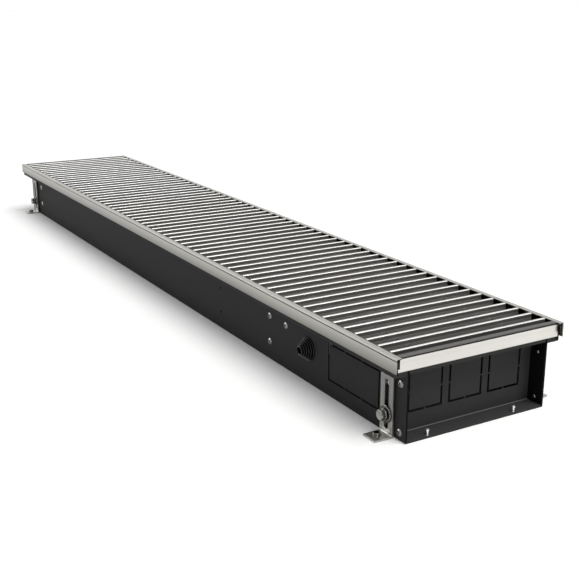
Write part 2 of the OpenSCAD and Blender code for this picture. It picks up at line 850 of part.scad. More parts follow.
module nut_plate_rivets() {
    color(bright_steel) both_ends() both_sides()
        wall_rivet(foot_x, nut_rivet_z, sheet_z + nut_plate_t);
}

// A stepped rubber cone, its neck in the wall, bored through for a cable
module cable_grommet() {
    steps = 5;
    step_l = grommet_l / (steps + 1);
    step_d = (grommet_d - cable_bore_d) / (steps + 1);
    color(rubber_black) translate([casing_x - grommet_in, 0, 0]) difference() {
        union() {
            for (i = [0:steps])
                bar_y(-wall_y - (i + 1) * step_l, -wall_y, grommet_d - i * step_d, 0, grommet_z);
            bar_y(-wall_y - step_l, grommet_inner_l - inner_y, grommet_neck_d, 0, grommet_z);
            bar_y(-inner_y, grommet_inner_l - inner_y, grommet_neck_d + step_d, 0, grommet_z);
        }
        bar_y(-wall_y - grommet_l - over, grommet_inner_l - inner_y + over, cable_bore_d,
            0, grommet_z);
    }
}

module tube_places() {
    for (y = tube_ys, z = tube_zs) translate([0, y, z]) children();
}

// Holes in a support plate for the tubes, the shaft's cushion and the fan's lead
module support_holes(x) {
    tube_places() bar_x(x - over, x + over, tube_d + 2 * hole_gap);
    bar_x(x - over, x + over, cushion_d + 2 * hole_gap, shaft_y, shaft_z);
    bar_x(x - over, x + over, lead_d + 2 * hole_gap, lead_y, lead_z);
    both_sides() support_rivet_places() wall_hole(0, 0);
}

module support_plate_near() {
    color(steel_black) difference() {
        cross_plate(web_near_x, web_near_x + support_flange, support_top);
        support_holes(web_near_x);
    }
}

module support_plate_far() {
    color(steel_black) difference() {
        mirror([1, 0, 0]) cross_plate(-web_far_x, support_flange - web_far_x, support_top);
        support_holes(web_far_x);
    }
}

module support_rivets() {
    color(bright_steel) both_sides()
        support_rivet_places() wall_rivet(0, 0, sheet_t + sheet_z);
}

module coil_fins() {
    color(aluminium) for (i = [0:fin_n - 1])
        along_x(coil_mid_x + (i - (fin_n - 1) / 2) * fin_pitch - fin_t / 2)
            linear_extrude(fin_t) difference() {
                translate([fin_y0, fin_z]) square([fin_w, fin_h]);
                for (y = tube_ys, z = tube_zs)
                    translate([y, z]) circle(d = tube_d + 2 * run_gap, $fn = round_fn);
            }
}

module tube(x0, x1, y, z) {
    difference() {
        bar_x(x0, x1, tube_d, y, z);
        bar_x(x0 - over, x1 + over, tube_bore, y, z);
    }
}

module coil_tubes() {
    color(copper) for (y = tube_ys) {
        tube(tube_far_x, web_near_x + tube_reach, y, tube_zs[0]);
        tube(tube_far_x, tube_near_x, y, tube_zs[1]);
    }
}

// Half a turn of tube in X and Y towards +X, joining tubes gap apart
module half_turn(gap) {
    rotate(-90) rotate_extrude(angle = 180, $fn = 2 * round_fn) translate([gap / 2, 0])
        difference() {
            circle(d = tube_d, $fn = round_fn);
            circle(d = tube_bore, $fn = round_fn);
        }
}

module coil_return_bends() {
    color(copper) {
        translate([tube_near_x + sheet_gap, fin_mid_y, tube_zs[1]]) half_turn(tube_dy);
        for (y = tube_ys) translate([tube_far_x - sheet_gap, y, fin_mid_z])
            rotate([90, 0, 0]) mirror([1, 0, 0]) half_turn(tube_dz);
    }
}

// A brass block on the end of a lower tube, threaded for a pipe at its free end
module connection_block(y) {
    z = tube_zs[0];
    x1 = block_x0 + block_l;
    difference() {
        translate([block_x0, y - block_w / 2, z - block_w / 2]) cube([block_l, block_w, block_w]);
        bar_x(block_x0 - over, block_x0 + solder_l, tube_d + 2 * run_gap, y, z);
        bar_x(block_x0, x1, tube_bore, y, z);
        bar_x(x1 - thread_l, x1 + over, thread_d, y, z);
    }
}

module supply_block() {
    color(brass) connection_block(tube_ys[0]);
}

module return_block() {
    color(brass) difference() {
        connection_block(tube_ys[1]);
        translate([vent_x, tube_ys[1], tube_zs[0]])
            cylinder(h = block_w, d = vent_screw_d / 2, $fn = small_fn);
    }
}

module air_vent_body() {
    color(brass) translate([vent_x, tube_ys[1], block_top]) difference() {
        cylinder(h = vent_h, d = vent_d, $fn = round_fn);
        translate([0, 0, vent_h / 3])
            cylinder(h = vent_h, d = vent_screw_d + 2 * run_gap, $fn = round_fn);
        translate([0, 0, -over]) cylinder(h = vent_h, d = vent_screw_d / 2, $fn = small_fn);
    }
}

module air_vent_screw() {
    slot = vent_screw_d / 4;
    color(bright_steel) translate([vent_x, tube_ys[1], block_top + vent_h / 3 + sheet_gap])
        difference() {
            cylinder(h = vent_h, d = vent_screw_d, $fn = round_fn);
            block(2 * vent_screw_d, slot, slot + over, [0, 0, vent_h - slot]);
        }
}

// One drum of the fan, from x to x + drum_l: two discs with hubs, blades and rings
module drum(x) {
    step = (drum_l - blade_t) / (ring_n + 1);
    along_x(x) translate([shaft_y, shaft_z]) {
        linear_extrude(drum_l) for (i = [0:blade_n - 1])
            rotate(i * 360 / blade_n) translate([blade_mid_r, 0]) rotate(blade_lean)
                square([blade_w, blade_t], center = true);
        for (z = [0, drum_l - blade_t]) translate([0, 0, z]) linear_extrude(blade_t)
            difference() {
                circle(r = drum_r, $fn = round_fn);
                circle(d = shaft_d + 2 * run_gap, $fn = round_fn);
            }
        for (z = [0, drum_l - hub_d]) translate([0, 0, z]) linear_extrude(hub_d)
            difference() {
                circle(d = hub_d, $fn = round_fn);
                circle(d = shaft_d + 2 * run_gap, $fn = round_fn);
            }
        for (i = [1:ring_n]) translate([0, 0, i * step]) linear_extrude(blade_t)
            difference() {
                circle(r = drum_r, $fn = round_fn);
                circle(r = drum_r - blade_w, $fn = round_fn);
            }
    }
}

module fan_drum_near() {
    color(plastic_grey) drum(coil_mid_x + motor_side);
}

module fan_drum_far() {
    color(plastic_grey) drum(coil_mid_x - motor_side - drum_l);
}

module fan_shaft() {
    color(bright_steel)
        bar_x(web_far_x - shaft_over, web_near_x + shaft_over, shaft_d, shaft_y, shaft_z);
}

// A ring round the shaft, its middle in the middle of the support plate at x
module shaft_ring(x, l, d, bore) {
    difference() {
        bar_x(x - l / 2, x + l / 2, d, shaft_y, shaft_z);
        bar_x(x - l, x + l, bore, shaft_y, shaft_z);
    }
}

module shaft_bearings() {
    color(brass) for (x = [web_near_x + sheet_t / 2, web_far_x - sheet_t / 2])
        shaft_ring(x, bearing_l, bearing_d, shaft_d + 2 * run_gap);
}

module bearing_cushions() {
    groove_w = sheet_t + 2 * sheet_gap;
    bore = bearing_d + 2 * run_gap;
    color(rubber_black) for (x = [web_near_x + sheet_t / 2, web_far_x - sheet_t / 2]) {
        shaft_ring(x, bearing_l, cushion_d, bore);
        difference() {
            shaft_ring(x, groove_w + 2 * sheet_t, cushion_d + 2 * cushion_lip, bore);
            shaft_ring(x, groove_w, cushion_d + 4 * cushion_lip, 0.9 * cushion_d);
        }
    }
}

module fan_motor() {
    nose_d = 3 * shaft_d;
    half = motor_l / 2;
    color(plastic_grey) difference() {
        union() {
            bar_x(coil_mid_x - half, coil_mid_x + half, motor_d, shaft_y, shaft_z);
            bar_x(coil_mid_x - half - nose_l, coil_mid_x + half + nose_l, nose_d, shaft_y, shaft_z);
        }
        bar_x(coil_mid_x - motor_l, coil_mid_x + motor_l, shaft_d + 2 * run_gap, shaft_y, shaft_z);
    }
}

module motor_bracket() {
    bore = motor_d + 2 * hole_gap;
    ring = motor_d + 2 * bracket_t;
    gauge = motor_l * cradle_share;
    base_z = sheet_z;
    color(bright_steel) {
        block(gauge + bracket_t, motor_d, bracket_t, [coil_mid_x, shaft_y, base_z]);
        for (s = [-1, 1]) along_x(coil_mid_x + (s * gauge - bracket_t) / 2)
            linear_extrude(bracket_t) difference() {
                union() {
                    translate([shaft_y, shaft_z]) circle(d = ring, $fn = round_fn);
                    translate([shaft_y - motor_d / 2, base_z])
                        square([motor_d, shaft_z - base_z]);
                }
                translate([shaft_y, shaft_z]) circle(d = bore, $fn = round_fn);
            }
    }
}

// The sheet behind and under a drum, from x0 to x1
module fan_guide(x0, x1) {
    along_x(x0) linear_extrude(x1 - x0) {
        translate([shaft_y, shaft_z]) bend(180, guide_r + guide_t, guide_t);
        translate([shaft_y - guide_r - guide_t, shaft_z])
            square([guide_t, support_top - shaft_z]);
        translate([shaft_y, guide_z - guide_t])
            square([fin_y0 - move_gap - shaft_y, guide_t]);
    }
}

module fan_guide_near() {
    color(aluminium) fan_guide(coil_mid_x + motor_side, web_near_x - sheet_gap);
}

module fan_guide_far() {
    color(aluminium) fan_guide(web_far_x + sheet_gap, coil_mid_x - motor_side);
}

module air_tongue() {
    z = fin_top + sheet_gap;
    l = web_near_x - web_far_x - 2 * sheet_gap;
    color(aluminium) along_x(web_far_x + sheet_gap) linear_extrude(l) {
        translate([tongue_y, z]) square([fin_y0 + fin_pitch - tongue_y, guide_t]);
        translate([tongue_y, tongue_z]) square([guide_t, z - tongue_z]);
    }
}

module post_places() {
    translate([box_x - post_x, post_y - sheet_y, 0]) children();
    translate([box_x + post_x, box_d - post_y - sheet_y, 0]) children();
}

module terminal_box() {
    wall = 2 * box_t;
    color(plastic_grey) difference() {
        union() {
            difference() {
                translate([box_x - box_l / 2, -sheet_y, box_z]) cube([box_l, box_d, box_h]);
                translate([box_x - box_l / 2 + box_t, box_t - sheet_y, box_z + box_t])
                    cube([box_l - wall, box_d - wall, box_h]);
            }
            post_places() translate([0, 0, box_z]) cylinder(h = box_h, d = post_d, $fn = small_fn);
        }
        post_places() translate([0, 0, box_cover_z - 3 * post_d])
            cylinder(h = 4 * post_d, d = screw_d + 2 * hole_gap, $fn = small_fn);
        translate([box_x, lead_y, box_z - over])
            cylinder(h = box_t + 2 * over, d = lead_d + 2 * hole_gap, $fn = round_fn);
        bar_x(box_x, box_x + box_l, cable_bore_d, box_d / 2 - sheet_y, grommet_z);
        wall_hole(box_x, box_rivet_z, rivet_d + 2 * hole_gap, box_t + over);
    }
}

module terminal_box_cover() {
    color(plastic_grey) difference() {
        translate([box_x - box_l / 2, -sheet_y, box_cover_z]) cube([box_l, box_d, box_t]);
        post_places() translate([0, 0, box_cover_z - over])
            cylinder(h = 2 * over + box_t, d = screw_d + 2 * hole_gap, $fn = small_fn);
    }
}

module cover_screws() {
    color(bright_steel) post_places() translate([0, 0, box_cover_z + box_t]) difference() {
        union() {
            cylinder(h = box_t, d = 2 * screw_d, $fn = small_fn);
            translate([0, 0, -2 * post_d]) cylinder(h = 2 * post_d, d = screw_d, $fn = small_fn);
        }
        block(4 * screw_d, screw_d / 4, box_t, [0, 0, box_t / 2]);
    }
}

module terminal_strip() {
    poles = 5;
    pole_w = (box_l - 8 * box_t) / poles;
    strip_d = box_d / 4;
    strip_h = box_h / 3;
    y = box_d / 2 - sheet_y;
    color("white") difference() {
        block(poles * pole_w, strip_d, strip_h, [box_x, y, box_z + box_t]);
        for (i = [0:poles - 1]) translate([box_x + (i + 0.5 - poles / 2) * pole_w, y, box_z])
            translate([0, 0, strip_h]) cylinder(h = strip_h, d = pole_w / 2, $fn = small_fn);
    }
}

module box_rivet() {
    color(bright_steel) wall_rivet(box_x, box_rivet_z, sheet_z + box_t);
}

// A quarter turn of the lead in X and Y, from +X to +Y about the origin
module lead_turn() {
    rotate_extrude(angle = 90, $fn = round_fn)
        translate([lead_bend, 0]) circle(d = lead_d, $fn = small_fn);
}

// The lead from the side of the motor, down, along the trough and up into the box
module fan_lead() {
    drop_y = lead_y;
    start_y = drop_y + lead_bend;
    high_z = shaft_z - lead_bend;
    low_z = lead_z + lead_bend;
    color(rubber_black) {
        translate([coil_mid_x, start_y, high_z]) rotate([90, 0, 90]) rotate(90) lead_turn();
        translate([coil_mid_x, drop_y, low_z])
            cylinder(h = high_z - low_z, d = lead_d, $fn = small_fn);
        translate([coil_mid_x + lead_bend, drop_y, low_z]) rotate([90, 0, 0])
            rotate(180) lead_turn();
        bar_x(coil_mid_x + lead_bend, box_x - lead_bend, lead_d, drop_y, lead_z, small_fn);
        translate([box_x - lead_bend, drop_y, low_z]) rotate([90, 0, 0])
            rotate(-90) lead_turn();
        translate([box_x, drop_y, low_z])
            cylinder(h = box_z + 2 * box_t - low_z, d = lead_d, $fn = small_fn);
    }
}

casing_trough();
end_plate_near();
end_plate_far();
end_flange_rivets();
floor_rivets();
frame_side_front();
frame_side_back();
frame_end_near();
frame_end_far();
grille_seat_strips();
grille_bars();
grille_rods();
grille_spacers();
grille_rod_caps();
foot_near_front();
foot_near_back();
foot_far_front();
foot_far_back();
level_screw_near_front();
level_screw_near_back();
level_screw_far_front();
level_screw_far_back();
clamp_bolts();
spring_washers();
flat_washers();
spacer_rings();
nut_plates();
nut_plate_rivets();
cable_grommet();
support_plate_near();
support_plate_far();
support_rivets();
coil_fins();
coil_tubes();
coil_return_bends();
supply_block();
return_block();
air_vent_body();
air_vent_screw();
fan_drum_near();
fan_drum_far();
fan_shaft();
shaft_bearings();
bearing_cushions();
fan_motor();
motor_bracket();
fan_guide_near();
fan_guide_far();
air_tongue();
terminal_box();
terminal_box_cover();
cover_screws();
terminal_strip();
box_rivet();
fan_lead();
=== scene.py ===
# Looks of a trench convector heater: black coated trough, aluminium frame and grille, feet,
# water coil and fan. Metres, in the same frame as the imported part.
import math

import bpy
from mathutils import Matrix, Vector


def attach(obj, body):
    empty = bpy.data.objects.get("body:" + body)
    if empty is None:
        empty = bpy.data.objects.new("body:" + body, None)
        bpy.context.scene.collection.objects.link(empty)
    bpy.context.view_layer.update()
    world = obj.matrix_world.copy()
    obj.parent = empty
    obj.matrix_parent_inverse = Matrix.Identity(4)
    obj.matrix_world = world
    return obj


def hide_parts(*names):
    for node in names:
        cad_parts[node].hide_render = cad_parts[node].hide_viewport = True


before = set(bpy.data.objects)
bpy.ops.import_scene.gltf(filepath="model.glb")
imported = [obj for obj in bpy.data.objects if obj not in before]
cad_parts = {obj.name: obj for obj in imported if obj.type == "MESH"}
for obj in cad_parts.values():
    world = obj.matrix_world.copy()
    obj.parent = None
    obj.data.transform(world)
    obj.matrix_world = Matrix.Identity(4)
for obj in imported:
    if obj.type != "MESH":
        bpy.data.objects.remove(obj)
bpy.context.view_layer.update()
scene = bpy.context.scene
scene.view_settings.view_transform = "Standard"
MM = 0.001

# Camera, worked out from the photograph's edges

CAMERA_PLACE = Vector((1.270758, -0.606201, 0.408686))
CAMERA_BACK = Vector((0.82521146, -0.4836008, 0.29181555))
CAMERA_LENS = 60.898
CAMERA_ROLL = math.radians(0.054)


def set_camera():
    data = bpy.data.cameras.new("camera")
    data.sensor_width = 36
    data.lens = CAMERA_LENS
    data.clip_start = 0.05
    camera = bpy.data.objects.new("camera", data)
    scene.collection.objects.link(camera)
    right = Vector((0, 0, 1)).cross(CAMERA_BACK).normalized()
    up = CAMERA_BACK.cross(right)
    c, s = math.cos(CAMERA_ROLL), math.sin(CAMERA_ROLL)
    turned_axes = Matrix((c * right + s * up, c * up - s * right, CAMERA_BACK)).transposed()
    camera.matrix_world = Matrix.Translation(CAMERA_PLACE) @ turned_axes.to_4x4()
    scene.camera = camera


set_camera()

# Node helpers


def put(tree, kind, inputs=None, **settings):
    """A shader node with its settings; inputs maps a socket's name or number to a value or link."""
    node = tree.nodes.new("ShaderNode" + kind)
    for key, value in settings.items():
        setattr(node, key, value)
    for key, value in (inputs or {}).items():
        if isinstance(value, bpy.types.NodeSocket):
            tree.links.new(value, node.inputs[key])
        else:
            node.inputs[key].default_value = value
    return node


def spread(tree, value, low, high, new_low=0.0, new_high=1.0):
    """value, from low to high, mapped on to new_low to new_high."""
    return put(tree, "MapRange", {0: value, 1: low, 2: high, 3: new_low, 4: new_high}).outputs[0]


def times(tree, a, b):
    return put(tree, "Math", {0: a, 1: b}, operation="MULTIPLY").outputs[0]


def start_group(name, inputs, outputs, normals=()):
    """A new node group with its sockets, and its nodes' sockets for what goes in and out."""
    group = bpy.data.node_groups.new(name, "ShaderNodeTree")
    for label, value in inputs.items():
        kind = "NodeSocketVector" if isinstance(value, tuple) else "NodeSocketFloat"
        group.interface.new_socket(label, in_out="INPUT", socket_type=kind).default_value = value
    for label in outputs:
        group.interface.new_socket(label, in_out="OUTPUT", socket_type="NodeSocketFloat")
    for label in normals:
        group.interface.new_socket(label, in_out="OUTPUT", socket_type="NodeSocketVector")
    given = group.nodes.new("NodeGroupInput").outputs
    return group, given, group.nodes.new("NodeGroupOutput").inputs


def give(group, sockets, **results):
    """Links each result to the group's output of that name."""
    for label, value in results.items():
        group.links.new(value, sockets[label])
    return group


def drawn_lines():
    """Fine lines left by drawing or grinding; Stretch is small along the lines and large across."""
    group, given, out = start_group(
        "drawn_lines", {"Vector": (0, 0, 0), "Stretch": (1, 1, 1)}, ["Tone", "Height"])
    vector = put(group, "VectorMath", {0: given["Vector"], 1: given["Stretch"]},
                 operation="MULTIPLY")
    fine = put(group, "TexNoise", {"Vector": vector.outputs[0], "Scale": 1.0, "Detail": 5.0,
                                   "Roughness": 0.7})
    broad = put(group, "TexNoise", {"Vector": vector.outputs[0], "Scale": 0.17, "Detail": 2.0})
    tone = put(group, "Mix", {0: 0.35, 2: fine.outputs[0], 3: broad.outputs[0]})
    return give(group, out, Tone=spread(group, tone.outputs[0], 0.3, 0.7),
                Height=fine.outputs[0])


def coat_grain():
    """The dimpled skin of powder coat, moulded plastic or rubber; Size is a dimple's width."""
    group, given, out = start_group("coat_grain", {"Vector": (0, 0, 0), "Size": 0.001},
                                    ["Tone", "Height"])
    scale = put(group, "Math", {0: 1.0, 1: given["Size"]}, operation="DIVIDE").outputs[0]
    dimples = put(group, "TexNoise", {"Vector": given["Vector"], "Scale": scale, "Detail": 2.0,
                                      "Roughness": 0.45})
    specks = put(group, "TexVoronoi", {"Vector": given["Vector"],
                                       "Scale": times(group, scale, 2.6)})
    speck = spread(group, specks.outputs["Distance"], 0.1, 0.6)
    height = put(group, "Mix", {0: 0.3, 2: dimples.outputs[0], 3: speck})
    tone = put(group, "Mix", {0: 0.5, 2: dimples.outputs[0], 3: speck})
    return give(group, out, Tone=tone.outputs[0], Height=height.outputs[0])


def zinc_spangle():
    """Pale and dark grains of plated or bare metal; Size is a grain's width."""
    group, given, out = start_group("zinc_spangle", {"Vector": (0, 0, 0), "Size": 0.002},
                                    ["Tone", "Height"])
    scale = put(group, "Math", {0: 1.0, 1: given["Size"]}, operation="DIVIDE").outputs[0]
    grains = put(group, "TexVoronoi", {"Vector": given["Vector"], "Scale": scale})
    mist = put(group, "TexNoise", {"Vector": given["Vector"], "Scale": times(group, scale, 0.35),
                                   "Detail": 4.0})
    shade = put(group, "SeparateColor", {0: grains.outputs["Color"]})
    tone = put(group, "Mix", {0: 0.6, 2: shade.outputs[0], 3: mist.outputs[0]})
    return give(group, out, Tone=tone.outputs[0], Height=mist.outputs[0])


def cloudy():
    """Slow drift of tone over a surface; Size is the width of a cloud."""
    group, given, out = start_group("cloudy", {"Vector": (0, 0, 0), "Size": 0.1}, ["Tone"])
    scale = put(group, "Math", {0: 1.0, 1: given["Size"]}, operation="DIVIDE").outputs[0]
    drift = put(group, "TexNoise", {"Vector": given["Vector"], "Scale": scale, "Detail": 3.0,
                                    "Roughness": 0.55})
    return give(group, out, Tone=spread(group, drift.outputs[0], 0.3, 0.7))


def settled_dust():
    """A thin film of dust on what faces up, thicker in patches; Amount is its strength."""
    group, given, out = start_group("settled_dust", {"Vector": (0, 0, 0), "Amount": 0.3}, ["Mask"])
    normal = put(group, "NewGeometry").outputs["Normal"]
    up = put(group, "SeparateXYZ", {0: normal}).outputs[2]
    patches = put(group, "TexNoise", {"Vector": given["Vector"], "Scale": 60.0, "Detail": 6.0,
                                      "Roughness": 0.65})
    mask = times(group, spread(group, up, 0.6, 1.0), spread(group, patches.outputs[0], 0.35, 0.75))
    return give(group, out, Mask=times(group, mask, given["Amount"]))


def level_band():
    """A band between two heights, where the colour is scaled to paint shade or a highlight, such as
    the painted shade in a groove that runs round a part.
    """
    group, given, out = start_group("level_band", {"Vector": (0, 0, 0), "Low": 0.0, "High": 0.001},
                                    ["Mask"])
    height = put(group, "SeparateXYZ", {0: given["Vector"]}).outputs[2]
    above = put(group, "Math", {0: height, 1: given["Low"]}, operation="GREATER_THAN").outputs[0]
    below = put(group, "Math", {0: height, 1: given["High"]}, operation="LESS_THAN").outputs[0]
    return give(group, out, Mask=times(group, above, below))


def painted_low_shade():
    """Painted shade: a share of the colour that grows from Share at the height Low to one at the
    height High, so a face is painted darker downwards.
    """
    group, given, out = start_group(
        "painted_low_shade", {"Vector": (0, 0, 0), "Low": 0.0, "High": 0.01, "Share": 0.6}, ["Mask"])
    height = put(group, "SeparateXYZ", {0: given["Vector"]}).outputs[2]
    rise = put(group, "MapRange", {0: height, 1: given["Low"], 2: given["High"],
                                   3: given["Share"], 4: 1.0})
    return give(group, out, Mask=rise.outputs[0])


def painted_shade_inside():
    """The space inside a trough or frame, within Reach of its middle and below Top, and the inner
    skin of its walls: a mask for painted shade, where these hollows are painted dark."""
    group, given, out = start_group(
        "painted_shade_inside", {"Vector": (0, 0, 0), "Reach X": 1.0, "Reach Y": 1.0, "Skin": 0.0,
                        "Top": 1.0}, ["Mask"])
    size = put(group, "VectorMath", {0: given["Vector"]}, operation="ABSOLUTE").outputs[0]
    parts = put(group, "SeparateXYZ", {0: size}).outputs
    within = put(group, "Math", {0: parts[1], 1: given["Reach Y"]}, operation="LESS_THAN")
    between = put(group, "Math", {0: parts[0], 1: given["Reach X"]}, operation="LESS_THAN")
    depth = put(group, "Math", {0: given["Reach Y"], 1: given["Skin"]}, operation="SUBTRACT")
    skin = put(group, "Math", {0: parts[1], 1: depth.outputs[0]}, operation="GREATER_THAN")
    either = put(group, "Math", {0: between.outputs[0], 1: skin.outputs[0]}, operation="MAXIMUM")
    under = put(group, "Math", {0: parts[2], 1: given["Top"]}, operation="LESS_THAN")
    across = times(group, within.outputs[0], either.outputs[0])
    return give(group, out, Mask=times(group, across, under.outputs[0]))


def broken_edge():
    """The lightly rounded edges of sheet and profile, and a mask on them for a colour that stands
    for worn metal or for a painted highlight; Width is the rounding's radius.
    """
    group, given, out = start_group("broken_edge", {"Width": 0.0005}, ["Mask"], ["Normal"])
    round_normal = put(group, "Bevel", {"Radius": given["Width"]}, samples=6).outputs[0]
    flat_normal = put(group, "NewGeometry").outputs["Normal"]
    same = put(group, "VectorMath", {0: round_normal, 1: flat_normal},
               operation="DOT_PRODUCT").outputs["Value"]
    return give(group, out, Mask=spread(group, same, 0.995, 0.86), Normal=round_normal)


GROUPS = {made.name: made for made in (drawn_lines(), coat_grain(), zinc_spangle(), cloudy(),
                                       settled_dust(), level_band(), painted_low_shade(), painted_shade_inside(),
                                       broken_edge())}


def use(tree, name, **values):
    """A group in a material, with its values; returns its outputs."""
    node = put(tree, "Group", node_tree=GROUPS[name])
    for label, value in values.items():
        if isinstance(value, bpy.types.NodeSocket):
            tree.links.new(value, node.inputs[label])
        else:
            node.inputs[label].default_value = value
    return node.outputs


DUST_COLOUR = (0.32, 0.3, 0.27, 1)
# The colour of painted shade in the hollows of trough and frame
PAINTED_SHADE_COLOUR = (0.006, 0.006, 0.006, 1)


def finish(name, low, high, rough, effect, metallic=0.0, specular=0.5, bump=0.05, depth=0.0001,
           cloud=0.12, drift=0.35, dust=0.0, coat=0.0, bands=(), shade_inside=None, edge=0.0,
           wear_and_glint=None, fade=None):
    """A material between two colours and two roughnesses: effect names a group and its values, and
    clouds drift over it. Bands are (low, high, share) heights where the colour is multiplied by the
    share, to paint shade or a highlight; dull is an inside painted dark as shade, edge a rounding's
    radius and rubbed the colour there, which stands for worn metal or is a painted highlight, and
    fade the heights between which a face is painted darker downwards as shade."""
    mat = bpy.data.materials.new(name)
    mat.use_nodes = True
    tree = mat.node_tree
    shader = tree.nodes["Principled BSDF"]
    place = put(tree, "TexCoord").outputs["Object"]
    kind, values = effect
    fine = use(tree, kind, Vector=place, **values)
    slow = use(tree, "cloudy", Vector=place, Size=cloud)
    tone = put(tree, "Mix", {0: drift, 2: fine["Tone"], 3: slow["Tone"]}).outputs[0]
    colour = put(tree, "Mix", {0: tone, 6: (*low, 1), 7: (*high, 1)}, data_type="RGBA")
    shown = colour.outputs[2]
    if dust:
        film = use(tree, "settled_dust", Vector=place, Amount=dust)
        dusty = put(tree, "Mix", {0: film["Mask"], 6: shown, 7: DUST_COLOUR}, data_type="RGBA")
        shown = dusty.outputs[2]
    # Painted shade: the inside is painted dark, as shaded
    if shade_inside:
        inside = use(tree, "painted_shade_inside", Vector=place, **shade_inside)
        deep = put(tree, "Mix", {0: inside["Mask"], 6: shown, 7: PAINTED_SHADE_COLOUR}, data_type="RGBA")
        shown = deep.outputs[2]
    # The edges' colour: worn metal, or a painted highlight where it is lighter than the metal
    if wear_and_glint:
        rounding = use(tree, "broken_edge", Width=edge)
        bare = put(tree, "Mix", {0: rounding["Mask"], 6: shown, 7: (*wear_and_glint, 1)}, data_type="RGBA")
        shown = bare.outputs[2]
    # Painted shade: the face is painted darker downwards
    if fade:
        lower = use(tree, "painted_low_shade", Vector=place, **fade)
        shown = put(tree, "VectorMath", {0: shown, "Scale": lower["Mask"]},
                    operation="SCALE").outputs[0]
    # Each band scales the colour: painted shade for a share under one, a painted highlight for a
    # share over one
    for bottom, top, share in bands:
        band = use(tree, "level_band", Vector=place, Low=bottom, High=top)
        grey = spread(tree, band["Mask"], 0.0, 1.0, 1.0, share)
        darker = put(tree, "VectorMath", {0: shown, "Scale": grey}, operation="SCALE")
        shown = darker.outputs[0]
    tree.links.new(shown, shader.inputs["Base Color"])
    tree.links.new(spread(tree, tone, 0.0, 1.0, *rough), shader.inputs["Roughness"])
    bumped = put(tree, "Bump", {"Strength": bump, "Distance": depth, "Height": fine["Height"]})
    if wear_and_glint:
        tree.links.new(rounding["Normal"], bumped.inputs["Normal"])
    tree.links.new(bumped.outputs[0], shader.inputs["Normal"])
    shader.inputs["Metallic"].default_value = metallic
    shader.inputs["Specular IOR Level"].default_value = specular
    shader.inputs["Coat Weight"].default_value = coat
    return mat


# The way in which drawn or ground lines run, as noise cells in a metre

ALONG_X = {"Stretch": (12, 2600, 2600)}
ALONG_Y = {"Stretch": (2600, 12, 2600)}
ALONG_Z = {"Stretch": (2600, 2600, 12)}

# Bands of painted shade and painted highlight as (low, high, share of the colour), and the insides
# painted dark as shade, in metres

# Painted shade: a dark line in the side profiles' groove, a dark line under the end profiles' top
# edge, and the end profiles' tops painted darker
GROOVE = (0.0871, 0.0881, 0.05)
END_GROOVE_SHADE = (0.0878, 0.08901, 0.015)
END_TOP_SHADE = (0.08901, 0.091, 0.125)
# Painted shade: the upper sides of the bars painted darker, most of all just under their tops
BAR_SIDE_SHADE = (0.07, 0.08955, 0.66)
BAR_BROW_SHADE = (0.0862, 0.08955, 0.45)
# Painted highlight: a light line along the fold at the foot of the end plates
FOLD_HIGHLIGHT = (0.00215, 0.0027, 3.6)
# Painted light and shade on the feet: the upper plate painted darker, the lower plate and bend
# painted lighter as lit, and the sole a little lighter
FOOT_LIGHT_AND_SHADE = ((0.03, 0.07, 0.6), (0.018, 0.03, 0.78), (0.00205, 0.0075, 1.5),
              (-0.001, 0.00205, 1.15))
# Hollows painted dark as shade: the trough's inside with the inner skin of its walls, and the gaps
# between outer walls and legs of the side and end profiles
SHADED_INSIDE = {"Reach X": 0.5799, "Reach Y": 0.0874, "Skin": 0.0024}
SHADED_SIDE_LEGS = {"Reach X": 1.0, "Reach Y": 0.1028, "Top": 0.0893}
SHADED_END_LEGS = {"Reach X": 0.5998, "Reach Y": 1.0, "Top": 0.0893}
# Painted shade: the side profiles' faces painted darker towards the bottom
SIDE_LOW_SHADE = {"Low": 0.075, "High": 0.087, "Share": 0.48}

black_coat = finish("satin_black_powder_coat", (0.031, 0.031, 0.0312), (0.043, 0.043, 0.0435),
                    (0.52, 0.64), ("coat_grain", {"Size": 0.0011}), specular=0.03, bump=0.25,
                    depth=0.00006, cloud=0.25, dust=0.006, shade_inside=SHADED_INSIDE)
# The end plates' coat, painted a little lighter than the trough's coat, as lit, with the painted
# highlight along the fold
end_coat = finish("satin_black_coat_of_end_plates", (0.036, 0.036, 0.0362),
                  (0.049, 0.049, 0.0495), (0.52, 0.64), ("coat_grain", {"Size": 0.0011}),
                  specular=0.03, bump=0.25, depth=0.00006, cloud=0.25, dust=0.006, shade_inside=SHADED_INSIDE,
                  bands=(FOLD_HIGHLIGHT,))
# The frame's side and end profiles are one aluminium: the sides are painted darker as shaded and
# the ends lighter as lit; the sides' rounded edges get a worn colour
frame_side_metal_shaded = finish("satin_aluminium_drawn_along_painted_shaded", (0.33, 0.321, 0.296), (0.45, 0.438, 0.404),
                          (0.26, 0.38), ("drawn_lines", ALONG_X), metallic=1.0, cloud=0.3,
                          bands=(GROOVE,), edge=0.0003, wear_and_glint=(0.36, 0.35, 0.335),
                          fade=SIDE_LOW_SHADE, shade_inside=SHADED_SIDE_LEGS)
frame_end_metal_lit = finish("satin_aluminium_drawn_across_painted_lit", (0.6, 0.586, 0.556), (0.74, 0.724, 0.69),
                         (0.28, 0.4), ("drawn_lines", ALONG_Y), metallic=1.0, cloud=0.12,
                         bands=(END_GROOVE_SHADE, END_TOP_SHADE), shade_inside=SHADED_END_LEGS)
